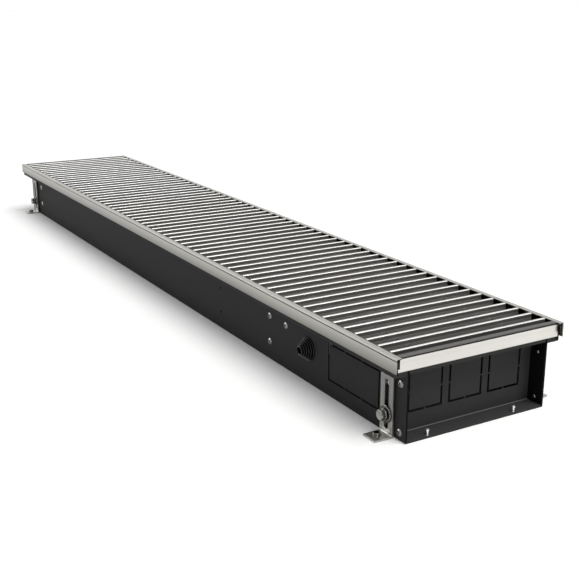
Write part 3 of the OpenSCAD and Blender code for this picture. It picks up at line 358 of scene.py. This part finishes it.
# The bars' sides carry painted shade
bar_metal = finish("bright_aluminium_of_bars", (0.62, 0.613, 0.596), (0.76, 0.752, 0.732),
                   (0.38, 0.5), ("drawn_lines", ALONG_Y), metallic=0.85, cloud=0.15,
                   bands=(BAR_SIDE_SHADE, BAR_BROW_SHADE))
rod_metal = finish("drawn_steel_of_rods", (0.42, 0.42, 0.41), (0.6, 0.6, 0.585), (0.22, 0.36),
                   ("drawn_lines", ALONG_X), metallic=1.0)
sheet_metal = finish("mill_aluminium_sheet", (0.46, 0.46, 0.465), (0.6, 0.6, 0.605), (0.3, 0.48),
                     ("drawn_lines", ALONG_X), metallic=1.0, cloud=0.08)
fin_metal = finish("mill_aluminium_of_fins", (0.5, 0.5, 0.51), (0.66, 0.66, 0.67), (0.28, 0.44),
                   ("drawn_lines", ALONG_Z), metallic=1.0, cloud=0.03)
# The feet's plated steel, with bands of painted light and shade
zinc = finish("plated_steel_of_feet", (0.26, 0.255, 0.24), (0.38, 0.374, 0.355), (0.28, 0.4),
              ("zinc_spangle", {"Size": 0.0016}), metallic=0.8, bump=0.08, cloud=0.02,
              bands=FOOT_LIGHT_AND_SHADE)
screw_metal = finish("oiled_steel_of_screws", (0.1, 0.093, 0.08), (0.2, 0.187, 0.165),
                     (0.2, 0.34), ("zinc_spangle", {"Size": 0.0009}), metallic=1.0, cloud=0.01)
bolt_metal = finish("bright_plated_bolt_steel", (0.2, 0.2, 0.193), (0.34, 0.336, 0.326),
                    (0.16, 0.3), ("zinc_spangle", {"Size": 0.0009}), metallic=1.0, cloud=0.01)
# Polished steel whose dark colour stands for the dark that it mirrors, a painted reflection, and
# whose light rims are a painted highlight for their glints
washer_metal = finish("polished_steel_of_washers", (0.045, 0.043, 0.039), (0.09, 0.087, 0.08),
                      (0.1, 0.2), ("zinc_spangle", {"Size": 0.0009}), metallic=1.0, cloud=0.01,
                      edge=0.0006, wear_and_glint=(0.85, 0.84, 0.81))
# The rivet aluminium painted much lighter, as lit, for the rivets behind the foot slots and the
# ends that stand up from the floor
rivets_painted_lit = finish("aluminium_of_rivets_painted_lit", (0.72, 0.72, 0.715),
                    (0.88, 0.88, 0.875), (0.14, 0.24), ("zinc_spangle", {"Size": 0.0007}),
                    metallic=0.95, cloud=0.008)
rivet_metal = finish("bare_aluminium_of_rivets", (0.15, 0.15, 0.149), (0.26, 0.26, 0.258),
                     (0.14, 0.24), ("zinc_spangle", {"Size": 0.0007}), metallic=1.0, cloud=0.008)
rubber = finish("black_rubber_moulded", (0.002, 0.002, 0.0023), (0.005, 0.005, 0.0055),
                (0.2, 0.3), ("coat_grain", {"Size": 0.0006}), specular=0.3, bump=0.1,
                depth=0.00004, cloud=0.02)
copper = finish("bare_copper_tube", (0.62, 0.24, 0.11), (0.82, 0.42, 0.24), (0.2, 0.36),
                ("drawn_lines", ALONG_X), metallic=1.0, cloud=0.03, drift=0.7)
brass = finish("machined_brass", (0.58, 0.4, 0.13), (0.76, 0.56, 0.24), (0.2, 0.34),
               ("drawn_lines", {"Stretch": (1800, 60, 1800)}), metallic=1.0, cloud=0.02)
black_plastic = finish("black_moulded_plastic", (0.012, 0.012, 0.013), (0.024, 0.024, 0.026),
                       (0.38, 0.52), ("coat_grain", {"Size": 0.0008}), bump=0.15, depth=0.00004)
dark_plastic = finish("anthracite_fan_plastic", (0.03, 0.031, 0.034), (0.055, 0.057, 0.06),
                      (0.36, 0.5), ("coat_grain", {"Size": 0.0008}), bump=0.12, depth=0.00004,
                      dust=0.12)
grey_plastic = finish("grey_box_plastic", (0.19, 0.195, 0.2), (0.25, 0.255, 0.26), (0.38, 0.5),
                      ("coat_grain", {"Size": 0.001}), bump=0.12, depth=0.00004, dust=0.1)
white_plastic = finish("white_terminal_plastic", (0.7, 0.69, 0.65), (0.82, 0.81, 0.77),
                       (0.34, 0.46), ("coat_grain", {"Size": 0.0009}), bump=0.08, depth=0.00003)
motor_coat = finish("grey_lacquer_of_motor", (0.075, 0.078, 0.082), (0.11, 0.114, 0.12),
                    (0.3, 0.44), ("coat_grain", {"Size": 0.0012}), bump=0.15, depth=0.00005,
                    dust=0.12, coat=0.15)
lead_skin = finish("smooth_lead_sheath", (0.01, 0.01, 0.011), (0.019, 0.019, 0.02), (0.3, 0.42),
                   ("coat_grain", {"Size": 0.0007}), bump=0.06, depth=0.00003)

# Modelling helpers


def pick_nothing():
    if bpy.context.object and bpy.context.object.mode != "OBJECT":
        bpy.ops.object.mode_set(mode="OBJECT")
    bpy.ops.object.select_all(action="DESELECT")


def pick(piece):
    pick_nothing()
    piece.select_set(True)
    bpy.context.view_layer.objects.active = piece


def edit(piece, mode="FACE"):
    """Clears the selection in edit mode and sets what is selected there from now on."""
    pick(piece)
    bpy.ops.object.mode_set(mode="EDIT")
    bpy.ops.mesh.select_mode(type=mode)
    bpy.ops.mesh.select_all(action="DESELECT")
    bpy.ops.object.mode_set(mode="OBJECT")


def select_faces(piece, test):
    """Selects the faces whose middle and normal pass the test, and stays in edit mode."""
    edit(piece)
    for face in piece.data.polygons:
        face.select = test(face.center, face.normal)
    bpy.ops.object.mode_set(mode="EDIT")


def select_edges(piece, test):
    """Selects the edges whose two ends pass the test, and stays in edit mode."""
    edit(piece, "EDGE")
    spots = [v.co for v in piece.data.vertices]
    for line in piece.data.edges:
        line.select = test(spots[line.vertices[0]], spots[line.vertices[1]])
    bpy.ops.object.mode_set(mode="EDIT")


def done(piece, name, smooth=32):
    """Ends a piece's modelling: place applied, normals outward, flat faces kept flat."""
    pick(piece)
    bpy.ops.object.transform_apply(location=True, rotation=True, scale=True)
    bpy.ops.object.mode_set(mode="EDIT")
    bpy.ops.mesh.select_all(action="SELECT")
    bpy.ops.mesh.remove_doubles(threshold=0.000002)
    bpy.ops.mesh.normals_make_consistent(inside=False)
    bpy.ops.object.mode_set(mode="OBJECT")
    bpy.ops.object.shade_smooth_by_angle(angle=math.radians(smooth))
    piece.name = piece.data.name = name
    return piece


def block(size, middle):
    """A box of that size in millimetres, to be shaped further."""
    pick_nothing()
    bpy.ops.mesh.primitive_cube_add(size=1, location=Vector(middle) * MM)
    piece = bpy.context.object
    piece.scale = Vector(size) * MM
    bpy.ops.object.transform_apply(location=True, rotation=True, scale=True)
    return piece


def turned(rings, sides=40):
    """A turned body about Z from rings of (radius, height) in millimetres. It is closed across
    its ends, or round a bore where the last ring is the first again."""
    pick_nothing()
    bored = rings[0] == rings[-1]
    radius, height = rings[0]
    bpy.ops.mesh.primitive_circle_add(vertices=sides, radius=radius * MM,
                                      fill_type="NOTHING" if bored else "NGON")
    piece = bpy.context.object
    bpy.ops.object.mode_set(mode="EDIT")
    bpy.ops.mesh.select_all(action="SELECT")
    bpy.ops.transform.translate(value=(0, 0, height * MM))
    for r, h in rings[1:]:
        move = {"value": (0, 0, (h - height) * MM)}
        if bored:
            bpy.ops.mesh.extrude_edges_move(TRANSFORM_OT_translate=move)
        else:
            bpy.ops.mesh.extrude_region_move(TRANSFORM_OT_translate=move)
        if r != radius:
            k = r / radius
            bpy.ops.transform.resize(value=(k, k, 1), center_override=(0, 0, h * MM))
        radius, height = r, h
    bpy.ops.object.mode_set(mode="OBJECT")
    return piece


def cut(piece, cutter, way="DIFFERENCE"):
    """Takes the cutter out of the piece, or joins or meets it, and removes the cutter."""
    pick(piece)
    step = piece.modifiers.new("cut", "BOOLEAN")
    step.operation = way
    step.solver = "EXACT"
    step.object = cutter
    bpy.ops.object.modifier_apply(modifier=step.name)
    bpy.data.objects.remove(cutter)
    return piece


def soften(piece, width, segments=2, angle=40):
    """Breaks the sharp edges of a piece by a bevel of that width in millimetres."""
    pick(piece)
    step = piece.modifiers.new("soften", "BEVEL")
    step.width = width * MM
    step.segments = segments
    step.limit_method = "ANGLE"
    step.angle_limit = math.radians(angle)
    step.use_clamp_overlap = True
    bpy.ops.object.modifier_apply(modifier=step.name)
    return piece


def aim(piece, way, spot):
    """Turns a body made about Z to point along way, and sets its origin on spot in millimetres."""
    turn = Vector((0, 0, 1)).rotation_difference(Vector(way)).to_matrix().to_4x4()
    piece.matrix_world = Matrix.Translation(Vector(spot) * MM) @ turn
    return piece


def another(piece, move=Matrix.Identity(4)):
    """A copy with a mesh of its own, moved or mirrored by the matrix."""
    twin = piece.copy()
    twin.data = piece.data.copy()
    scene.collection.objects.link(twin)
    twin.matrix_world = move @ piece.matrix_world
    return twin


def mirrored(sx, sy):
    return Matrix.Diagonal((sx, sy, 1, 1))


CORNERS = {"near_front": (1, 1), "near_back": (1, -1), "far_front": (-1, 1), "far_back": (-1, -1)}


def wear(piece, material, slot, body, *nodes):
    """Gives a finished piece its material, its body and the nodes that it stands for."""
    piece.data.materials.clear()
    piece.data.materials.append(material)
    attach(piece, body)
    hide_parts(*nodes)


# Sizes in millimetres, as in the part's source

WALL_Y = 87.5
FOOT_X = 573.4
FOOT_W = 20.0
FOOT_T = 2.0
FOOT_BACK = 89.0
FOOT_FACE = FOOT_BACK + FOOT_T
FOOT_H = 62.0
SOLE_L = 21.5
SOLE_BEND_R = 3.0
INNER_BEND_R = 1.0
SLOT_W = 6.6
SLOT_L = 51.0
SLOT_Z = 6.7
SLOT_END_R = 3.29
BOLT_Z = 22.5
WASHER_Y = FOOT_FACE + 2.0
BOLT_HEAD_Y = WASHER_Y + 2.2
LEVEL_Y = 101.5
LEVEL_HOLE_R = 4.05
ANCHOR = (580.3, 101.5)
ANCHOR_R = 2.0
RIVET_TAIL = 2.0
TWO_SHEETS = 2.1
SHEETS_AND_BOX = 3.1
SHEETS_AND_NUT_PLATE = 4.1
END_RIVET_X = 590.0
END_RIVET_ZS = (8.5, 58.0)
SUPPORT_RIVET_XS = (340.0, -542.0)
SUPPORT_RIVET_ZS = (22.0, 53.0)
NUT_PLATE_RIVET_Z = 53.7
BOX_RIVET = (376.5, 52.0)
FLOOR_RIVET_X = 596.4
FLOOR_RIVET_YS = (-58.625, 50.75)
GROMMET = (425.0, 40.0)
ROD_CAP = (586.7, 60.0, 81.0)
GRILLE_SHIFT = 1.0
SHAFT = (-53.0, 36.0)
MOTOR_X = -101.0

# Feet


def foot_bracket():
    """A plate with a slot and a sole bent outward at its foot, drilled for screw and anchor."""
    middle_y = -(FOOT_BACK + FOOT_T / 2)
    plate = block((FOOT_W, FOOT_T, FOOT_H), (FOOT_X, middle_y, FOOT_H / 2))
    edit(plate)
    bpy.ops.object.mode_set(mode="EDIT")
    bpy.ops.mesh.select_all(action="SELECT")
    top = FOOT_T * MM
    bpy.ops.mesh.bisect(plane_co=(0, 0, top), plane_no=(0, 0, 1))
    select_faces(plate, lambda c, n: n.y < -0.9 and c.z < top)
    bpy.ops.mesh.extrude_region_move(
        TRANSFORM_OT_translate={"value": (0, -(SOLE_L - FOOT_T) * MM, 0)})
    back, front = -FOOT_BACK * MM, -FOOT_FACE * MM
    near = 0.00001
    select_edges(plate, lambda a, b: max(a.z, b.z) < near and min(a.y, b.y) > back - near)
    bpy.ops.mesh.bevel(offset=SOLE_BEND_R * MM, segments=8, affect="EDGES")
    select_edges(plate, lambda a, b: abs(a.z - top) < near and abs(b.z - top) < near
                 and abs(a.y - front) < near and abs(b.y - front) < near)
    bpy.ops.mesh.bevel(offset=INNER_BEND_R * MM, segments=6, affect="EDGES")
    bpy.ops.object.mode_set(mode="OBJECT")
    slot = block((SLOT_W, 6 * FOOT_T, SLOT_L), (FOOT_X, middle_y, SLOT_Z + SLOT_L / 2))
    select_edges(slot, lambda a, b: abs(a.x - b.x) < near and abs(a.z - b.z) < near)
    bpy.ops.mesh.bevel(offset=SLOT_END_R * MM, segments=12, affect="EDGES")
    bpy.ops.object.mode_set(mode="OBJECT")
    cut(plate, slot)
    for x, y, r in ((FOOT_X, LEVEL_Y, LEVEL_HOLE_R), (*ANCHOR, ANCHOR_R)):
        drill = turned([(r, -2 * FOOT_T), (r, 4 * FOOT_T)], 32)
        cut(plate, aim(drill, (0, 0, 1), (x, -y, 0)))
    return soften(plate, 0.3, 2, 50)


def level_screw():
    """A short threaded screw with a six-sided socket in its top."""
    rings = [(3.2, 0), (3.6, 0.5)]
    for i in range(3):
        rings += [(4.0, 0.9 + i), (4.0, 1.1 + i), (3.65, 1.4 + i), (3.65, 1.6 + i)]
    rings += [(4.0, 4.0), (4.0, 5.0), (3.6, 5.5)]
    screw = turned(rings, 36)
    socket = turned([(2.88, 1.6), (2.88, 8)], 6)
    return aim(cut(screw, socket), (0, 0, 1), (FOOT_X, -LEVEL_Y, 0))


def clamp_bolt():
    """A six-sided head, rounded at its corners and hollowed on top, on a threaded shank."""
    head = turned([(5.77, 0), (5.77, 4)], 6)
    head.data.transform(Matrix.Rotation(math.radians(30), 4, "Z"))
    cut(head, turned([(4.9, -0.01), (5.85, 0.4), (5.85, 3.3), (4.9, 4.0)], 48), "INTERSECT")
    cut(head, turned([(3.4, 3.75), (4.3, 4.2)], 40))
    rings = [(2.2, -16.0), (2.9, -15.4)]
    for i in range(13):
        rings += [(2.55, -15.0 + i), (2.95, -14.6 + i), (2.95, -14.4 + i)]
    rings += [(2.6, -1.6), (2.6, 0.2)]
    cut(head, turned(rings, 24), "UNION")
    return aim(head, (0, -1, 0), (FOOT_X, -BOLT_HEAD_Y, BOLT_Z))


def spring_washer():
    """A ring with one slanted gap."""
    ring = turned([(3.3, 0), (3.1, 0.25), (3.1, 1.95), (3.3, 2.2), (5.6, 2.2), (5.9, 1.9),
                   (5.9, 0.3), (5.6, 0), (3.3, 0)], 48)
    gap = block((1.1, 8, 8), (0, 5.5, 1.1))
    gap.data.transform(Matrix.Rotation(math.radians(28), 4, "Y"))
    return aim(cut(ring, gap), (0, -1, 0), (FOOT_X, -WASHER_Y, BOLT_Z))


def flat_washer():
    """A ring with rounded rims, a hair off the faces that it lies between."""
    ring = turned([(3.3, 0.02), (3.1, 0.2), (3.1, 1.8), (3.3, 1.98), (8.3, 1.98), (8.75, 1.85),
                   (9, 1.5), (9, 0.25), (8.8, 0.02), (3.3, 0.02)], 56)
    return aim(ring, (0, -1, 0), (FOOT_X, -FOOT_FACE, BOLT_Z))


def build_feet():
    firsts = {
        "foot": (foot_bracket(), zinc, 50), "level_screw": (level_screw(), screw_metal, 32),
        "clamp_bolt": (clamp_bolt(), bolt_metal, 32),
        "spring_washer": (spring_washer(), washer_metal, 40),
        "flat_washer": (flat_washer(), washer_metal, 32),
    }
    for part, (first, material, smooth) in firsts.items():
        for corner, (sx, sy) in CORNERS.items():
            twin = done(another(first, mirrored(sx, sy)), part + "_of_" + corner, smooth)
            moving = part in ("foot", "level_screw")
            node = part + "_" + corner if moving else part + "s"
            wear(twin, material, "plated_steel", node if moving else "casing", node)
        bpy.data.objects.remove(first)


# Rivets


def blind_rivet(grip, tail):
    """Head on z = 0, closed end under the sheets, a broken mandrel in the head's hole."""
    end = -grip - tail
    return turned([(1.3, end), (1.9, end + 0.2), (2.3, end + 0.7), (2.4, end + tail - 0.6),
                   (2.15, -grip - 0.2), (2.0, -grip), (2.0, 0), (3.9, 0), (4.0, 0.1),
                   (3.85, 0.32), (3.5, 0.58), (3.0, 0.86), (2.5, 1.08), (2.1, 1.18), (1.75, 1.16),
                   (1.6, 1.0), (1.55, 0.1), (0.8, 0.1), (0.75, 0.45)], 28)


def flush_rivet():
    """Countersunk from below, its closed end standing up from the sheet."""
    return turned([(0.9, 0.5), (1.0, 0.02), (3.2, 0.02), (2.0, 1.0), (2.0, 1.95), (1.45, 2.1),
                   (1.4, 6.2), (1.9, 6.6), (2.0, 7.4), (1.75, 7.95), (1.4, 8.1), (0.95, 8.1),
                   (0.85, 7.7), (0.8, 7.0)], 28)


def set_rivets(node, first, spots, way=(0, -1, 0), metal=rivet_metal):
    """Rivets at spots of (x, y, z, x sign, y sign) in millimetres, a sign of -1 mirroring one."""
    for i, (x, y, z, sx, sy) in enumerate(spots):
        twin = another(first)
        aim(twin, way, (x, y, z))
        twin.matrix_world = mirrored(sx, sy) @ twin.matrix_world
        wear(done(twin, "%s_%d" % (node, i + 1), 40), metal, "rivet_metal", "casing", node)
    bpy.data.objects.remove(first)


def build_rivets():
    both = [(sx, sy) for sx in (1, -1) for sy in (1, -1)]
    set_rivets("end_flange_rivets", blind_rivet(TWO_SHEETS, RIVET_TAIL),
               [(END_RIVET_X, -WALL_Y, z, sx, sy) for z in END_RIVET_ZS for sx, sy in both])
    set_rivets("support_rivets", blind_rivet(TWO_SHEETS, RIVET_TAIL),
               [(x, -WALL_Y, z, 1, sy) for x in SUPPORT_RIVET_XS for z in SUPPORT_RIVET_ZS
                for sy in (1, -1)])
    # The rivets behind the foot slots take the aluminium painted lighter, as lit
    set_rivets("nut_plate_rivets", blind_rivet(SHEETS_AND_NUT_PLATE, RIVET_TAIL),
               [(FOOT_X, -WALL_Y, NUT_PLATE_RIVET_Z, sx, sy) for sx, sy in both],
               metal=rivets_painted_lit)
    set_rivets("box_rivet", blind_rivet(SHEETS_AND_BOX, RIVET_TAIL),
               [(BOX_RIVET[0], -WALL_Y, BOX_RIVET[1], 1, 1)])
    set_rivets("floor_rivets", flush_rivet(),
               [(FLOOR_RIVET_X, y, 0, sx, 1) for y in FLOOR_RIVET_YS for sx in (1, -1)],
               (0, 0, 1), rivets_painted_lit)


# Cable grommet: rounded rings that step down to the cable, and a neck held in the wall


def cable_grommet():
    rings = [(4.0, -4.0), (12.0, -4.0), (12.6, -3.6), (12.6, -1.4), (12.2, -1.0), (11.0, -1.0),
             (11.0, 0.0), (13.3, 0.0)]
    for i in range(6):
        r, h = 13.75 - i * 19.5 / 12, i * 2.0
        rings += [(r - 0.35, h + 0.15), (r - 0.05, h + 0.6), (r, h + 1.0), (r - 0.2, h + 1.45),
                  (r - 0.6, h + 1.75), (r - 1.1, h + 1.7)]
        if i < 5:
            rings.append((r - 2.3, h + 1.2))
    rings[-1] = (4.5, 12.0)
    rings += [(4.0, 11.6), (4.0, -4.0)]
    body = turned(rings, 56)
    return aim(body, (0, -1, 0), (GROMMET[0], -WALL_Y, GROMMET[1]))


# Grille


def build_rod_caps():
    """A moulded cap on each end of the two rods."""
    first = turned([(2.55, 1.5), (2.55, 0), (4.6, 0), (5.0, 0.3), (5.0, 1.9), (4.8, 2.5),
                    (4.3, 2.9)], 28)
    x, y, z = ROD_CAP
    for i, (sx, sy) in enumerate(((1, 1), (1, -1), (-1, 1), (-1, -1))):
        cap = aim(another(first), (sx, 0, 0), (sx * x - GRILLE_SHIFT, sy * y, z))
        wear(done(cap, "rod_cap_%d" % (i + 1)), black_plastic, "black_plastic", "grille",
             "grille_rod_caps")
    bpy.data.objects.remove(first)


# Fan motor: a ribbed drum between two end shields, round the shaft


def fan_motor():
    half = [(3.05, -34), (8.2, -34), (8.9, -33.4), (9.0, -30.6), (9.6, -30), (18.8, -30),
            (20.4, -29.2), (20.9, -27.8), (20.9, -21.5), (20.2, -21.2), (20.2, -20.2)]
    ribs = []
    for i in range(9):
        x = -19.2 + i * 4.6
        ribs += [(20.2, x - 0.5), (21.0, x - 0.2), (21.0, x + 1.4), (20.2, x + 1.7)]
    other = [(r, -x) for r, x in reversed(half)]
    body = turned(half + ribs + other + [half[0]], 56)
    return aim(body, (1, 0, 0), (MOTOR_X, *SHAFT))


def build_all():
    build_feet()
    build_rivets()
    wear(done(cable_grommet(), "cable_grommet_moulded", 40), rubber, "black_rubber", "casing",
         "cable_grommet")
    build_rod_caps()
    wear(done(fan_motor(), "fan_motor_ribbed", 30), motor_coat, "grey_plastic", "casing",
         "fan_motor")


build_all()

# Finishes of the parts that keep their CAD shape


def dress(material, names):
    """Gives the material to the named parts, whose meshes stay as they are."""
    for name in names.split():
        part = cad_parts[name]
        if not part.material_slots:
            part.data.materials.append(material)
        for place in part.material_slots:
            place.material = material


dress(black_coat, "casing_trough support_plate_near support_plate_far")
dress(end_coat, "end_plate_near end_plate_far")
dress(frame_side_metal_shaded, "frame_side_front frame_side_back")
dress(frame_end_metal_lit, "frame_end_near frame_end_far")
dress(bar_metal, "grille_bars")
dress(rod_metal, "grille_rods fan_shaft")
dress(black_plastic, "grille_spacers")
dress(rubber, "grille_seat_strips bearing_cushions")
dress(zinc, "nut_plates spacer_rings motor_bracket")
dress(bolt_metal, "cover_screws air_vent_screw")
dress(fin_metal, "coil_fins")
dress(sheet_metal, "fan_guide_near fan_guide_far air_tongue")
dress(copper, "coil_tubes coil_return_bends")
dress(brass, "supply_block return_block air_vent_body shaft_bearings")
dress(dark_plastic, "fan_drum_near fan_drum_far")
dress(grey_plastic, "terminal_box terminal_box_cover")
dress(white_plastic, "terminal_strip")
dress(lead_skin, "fan_lead")

# Light: an even white room with one brighter patch that only mirror rays see, a broad sun from
# behind on the right, and a warm panel at the near end


def lamp(name, kind, place, target, power, **settings):
    """A light at its place that shines towards the target."""
    data = bpy.data.lights.new(name, kind)
    data.energy = power
    for key, value in settings.items():
        setattr(data, key, value)
    light = bpy.data.objects.new(name, data)
    scene.collection.objects.link(light)
    light.location = place
    way = Vector(target) - Vector(place)
    light.rotation_euler = way.to_track_quat("-Z", "Y").to_euler()


SUN_PLACE = (1.0, 0.35, 2.5)
SUN_POWER = 2.4
SUN_WIDTH = math.radians(40)
PANEL_PLACE = (2.1, 0.9, 0.7)
PANEL_TARGET = (0.5, 0, 0.05)
PANEL_POWER = 5
PANEL_COLOUR = (1.0, 0.95, 0.88)
ROOM_COLOUR = (1.0, 0.99, 0.975, 1)
ROOM_LIGHT = 0.28
WINDOW_WAY = (-0.73, -0.64, 0.24)
WINDOW_RIM = 0.925
WINDOW_CORE = 0.965
WINDOW_GLOW = 4.2
FLOOR_SIZE = 40
FLOOR_COLOUR = (0.93, 0.93, 0.93, 1)
FLOOR_GLOW = 0.14


def light_studio():
    lamp("broad_sun", "SUN", SUN_PLACE, (0, 0, 0), SUN_POWER, angle=SUN_WIDTH)
    lamp("warm_panel", "AREA", PANEL_PLACE, PANEL_TARGET, PANEL_POWER, shape="DISK", size=1.0,
         color=PANEL_COLOUR)
    world = bpy.data.worlds.new("studio")
    scene.world = world
    world.use_nodes = True
    tree = world.node_tree
    tree.nodes.clear()
    path = put(tree, "LightPath").outputs
    mirror_ray = put(tree, "Math", {0: path["Is Camera Ray"], 1: path["Is Glossy Ray"]},
                     operation="MAXIMUM")
    lit = put(tree, "Background", {"Color": ROOM_COLOUR, "Strength": ROOM_LIGHT})
    way = put(tree, "TexCoord").outputs["Generated"]
    toward = put(tree, "VectorMath", {0: way, 1: WINDOW_WAY}, operation="DOT_PRODUCT")
    window = spread(tree, toward.outputs["Value"], WINDOW_RIM, WINDOW_CORE, 1.0, WINDOW_GLOW)
    seen = put(tree, "Background", {"Color": (1, 1, 1, 1), "Strength": window})
    blend = put(tree, "MixShader", {0: mirror_ray.outputs[0], 1: lit.outputs[0],
                                    2: seen.outputs[0]})
    put(tree, "OutputWorld", {"Surface": blend.outputs[0]})


light_studio()


def lay_floor():
    """A pale floor that keeps the shadow and is white where nothing shades it."""
    pick_nothing()
    bpy.ops.mesh.primitive_plane_add(size=FLOOR_SIZE, location=(0, 0, 0))
    floor = bpy.context.object
    floor.name = "studio_floor"
    mat = bpy.data.materials.new("pale_floor")
    mat.use_nodes = True
    tree = mat.node_tree
    shader = tree.nodes["Principled BSDF"]
    shader.inputs["Base Color"].default_value = FLOOR_COLOUR
    shader.inputs["Roughness"].default_value = 0.9
    shader.inputs["Specular IOR Level"].default_value = 0.1
    shader.inputs["Emission Color"].default_value = (1, 1, 1, 1)
    path = put(tree, "LightPath").outputs
    seen = put(tree, "Math", {0: path["Is Camera Ray"], 1: path["Is Glossy Ray"]},
               operation="MAXIMUM")
    tree.links.new(times(tree, seen.outputs[0], FLOOR_GLOW), shader.inputs["Emission Strength"])
    floor.data.materials.append(mat)


lay_floor()
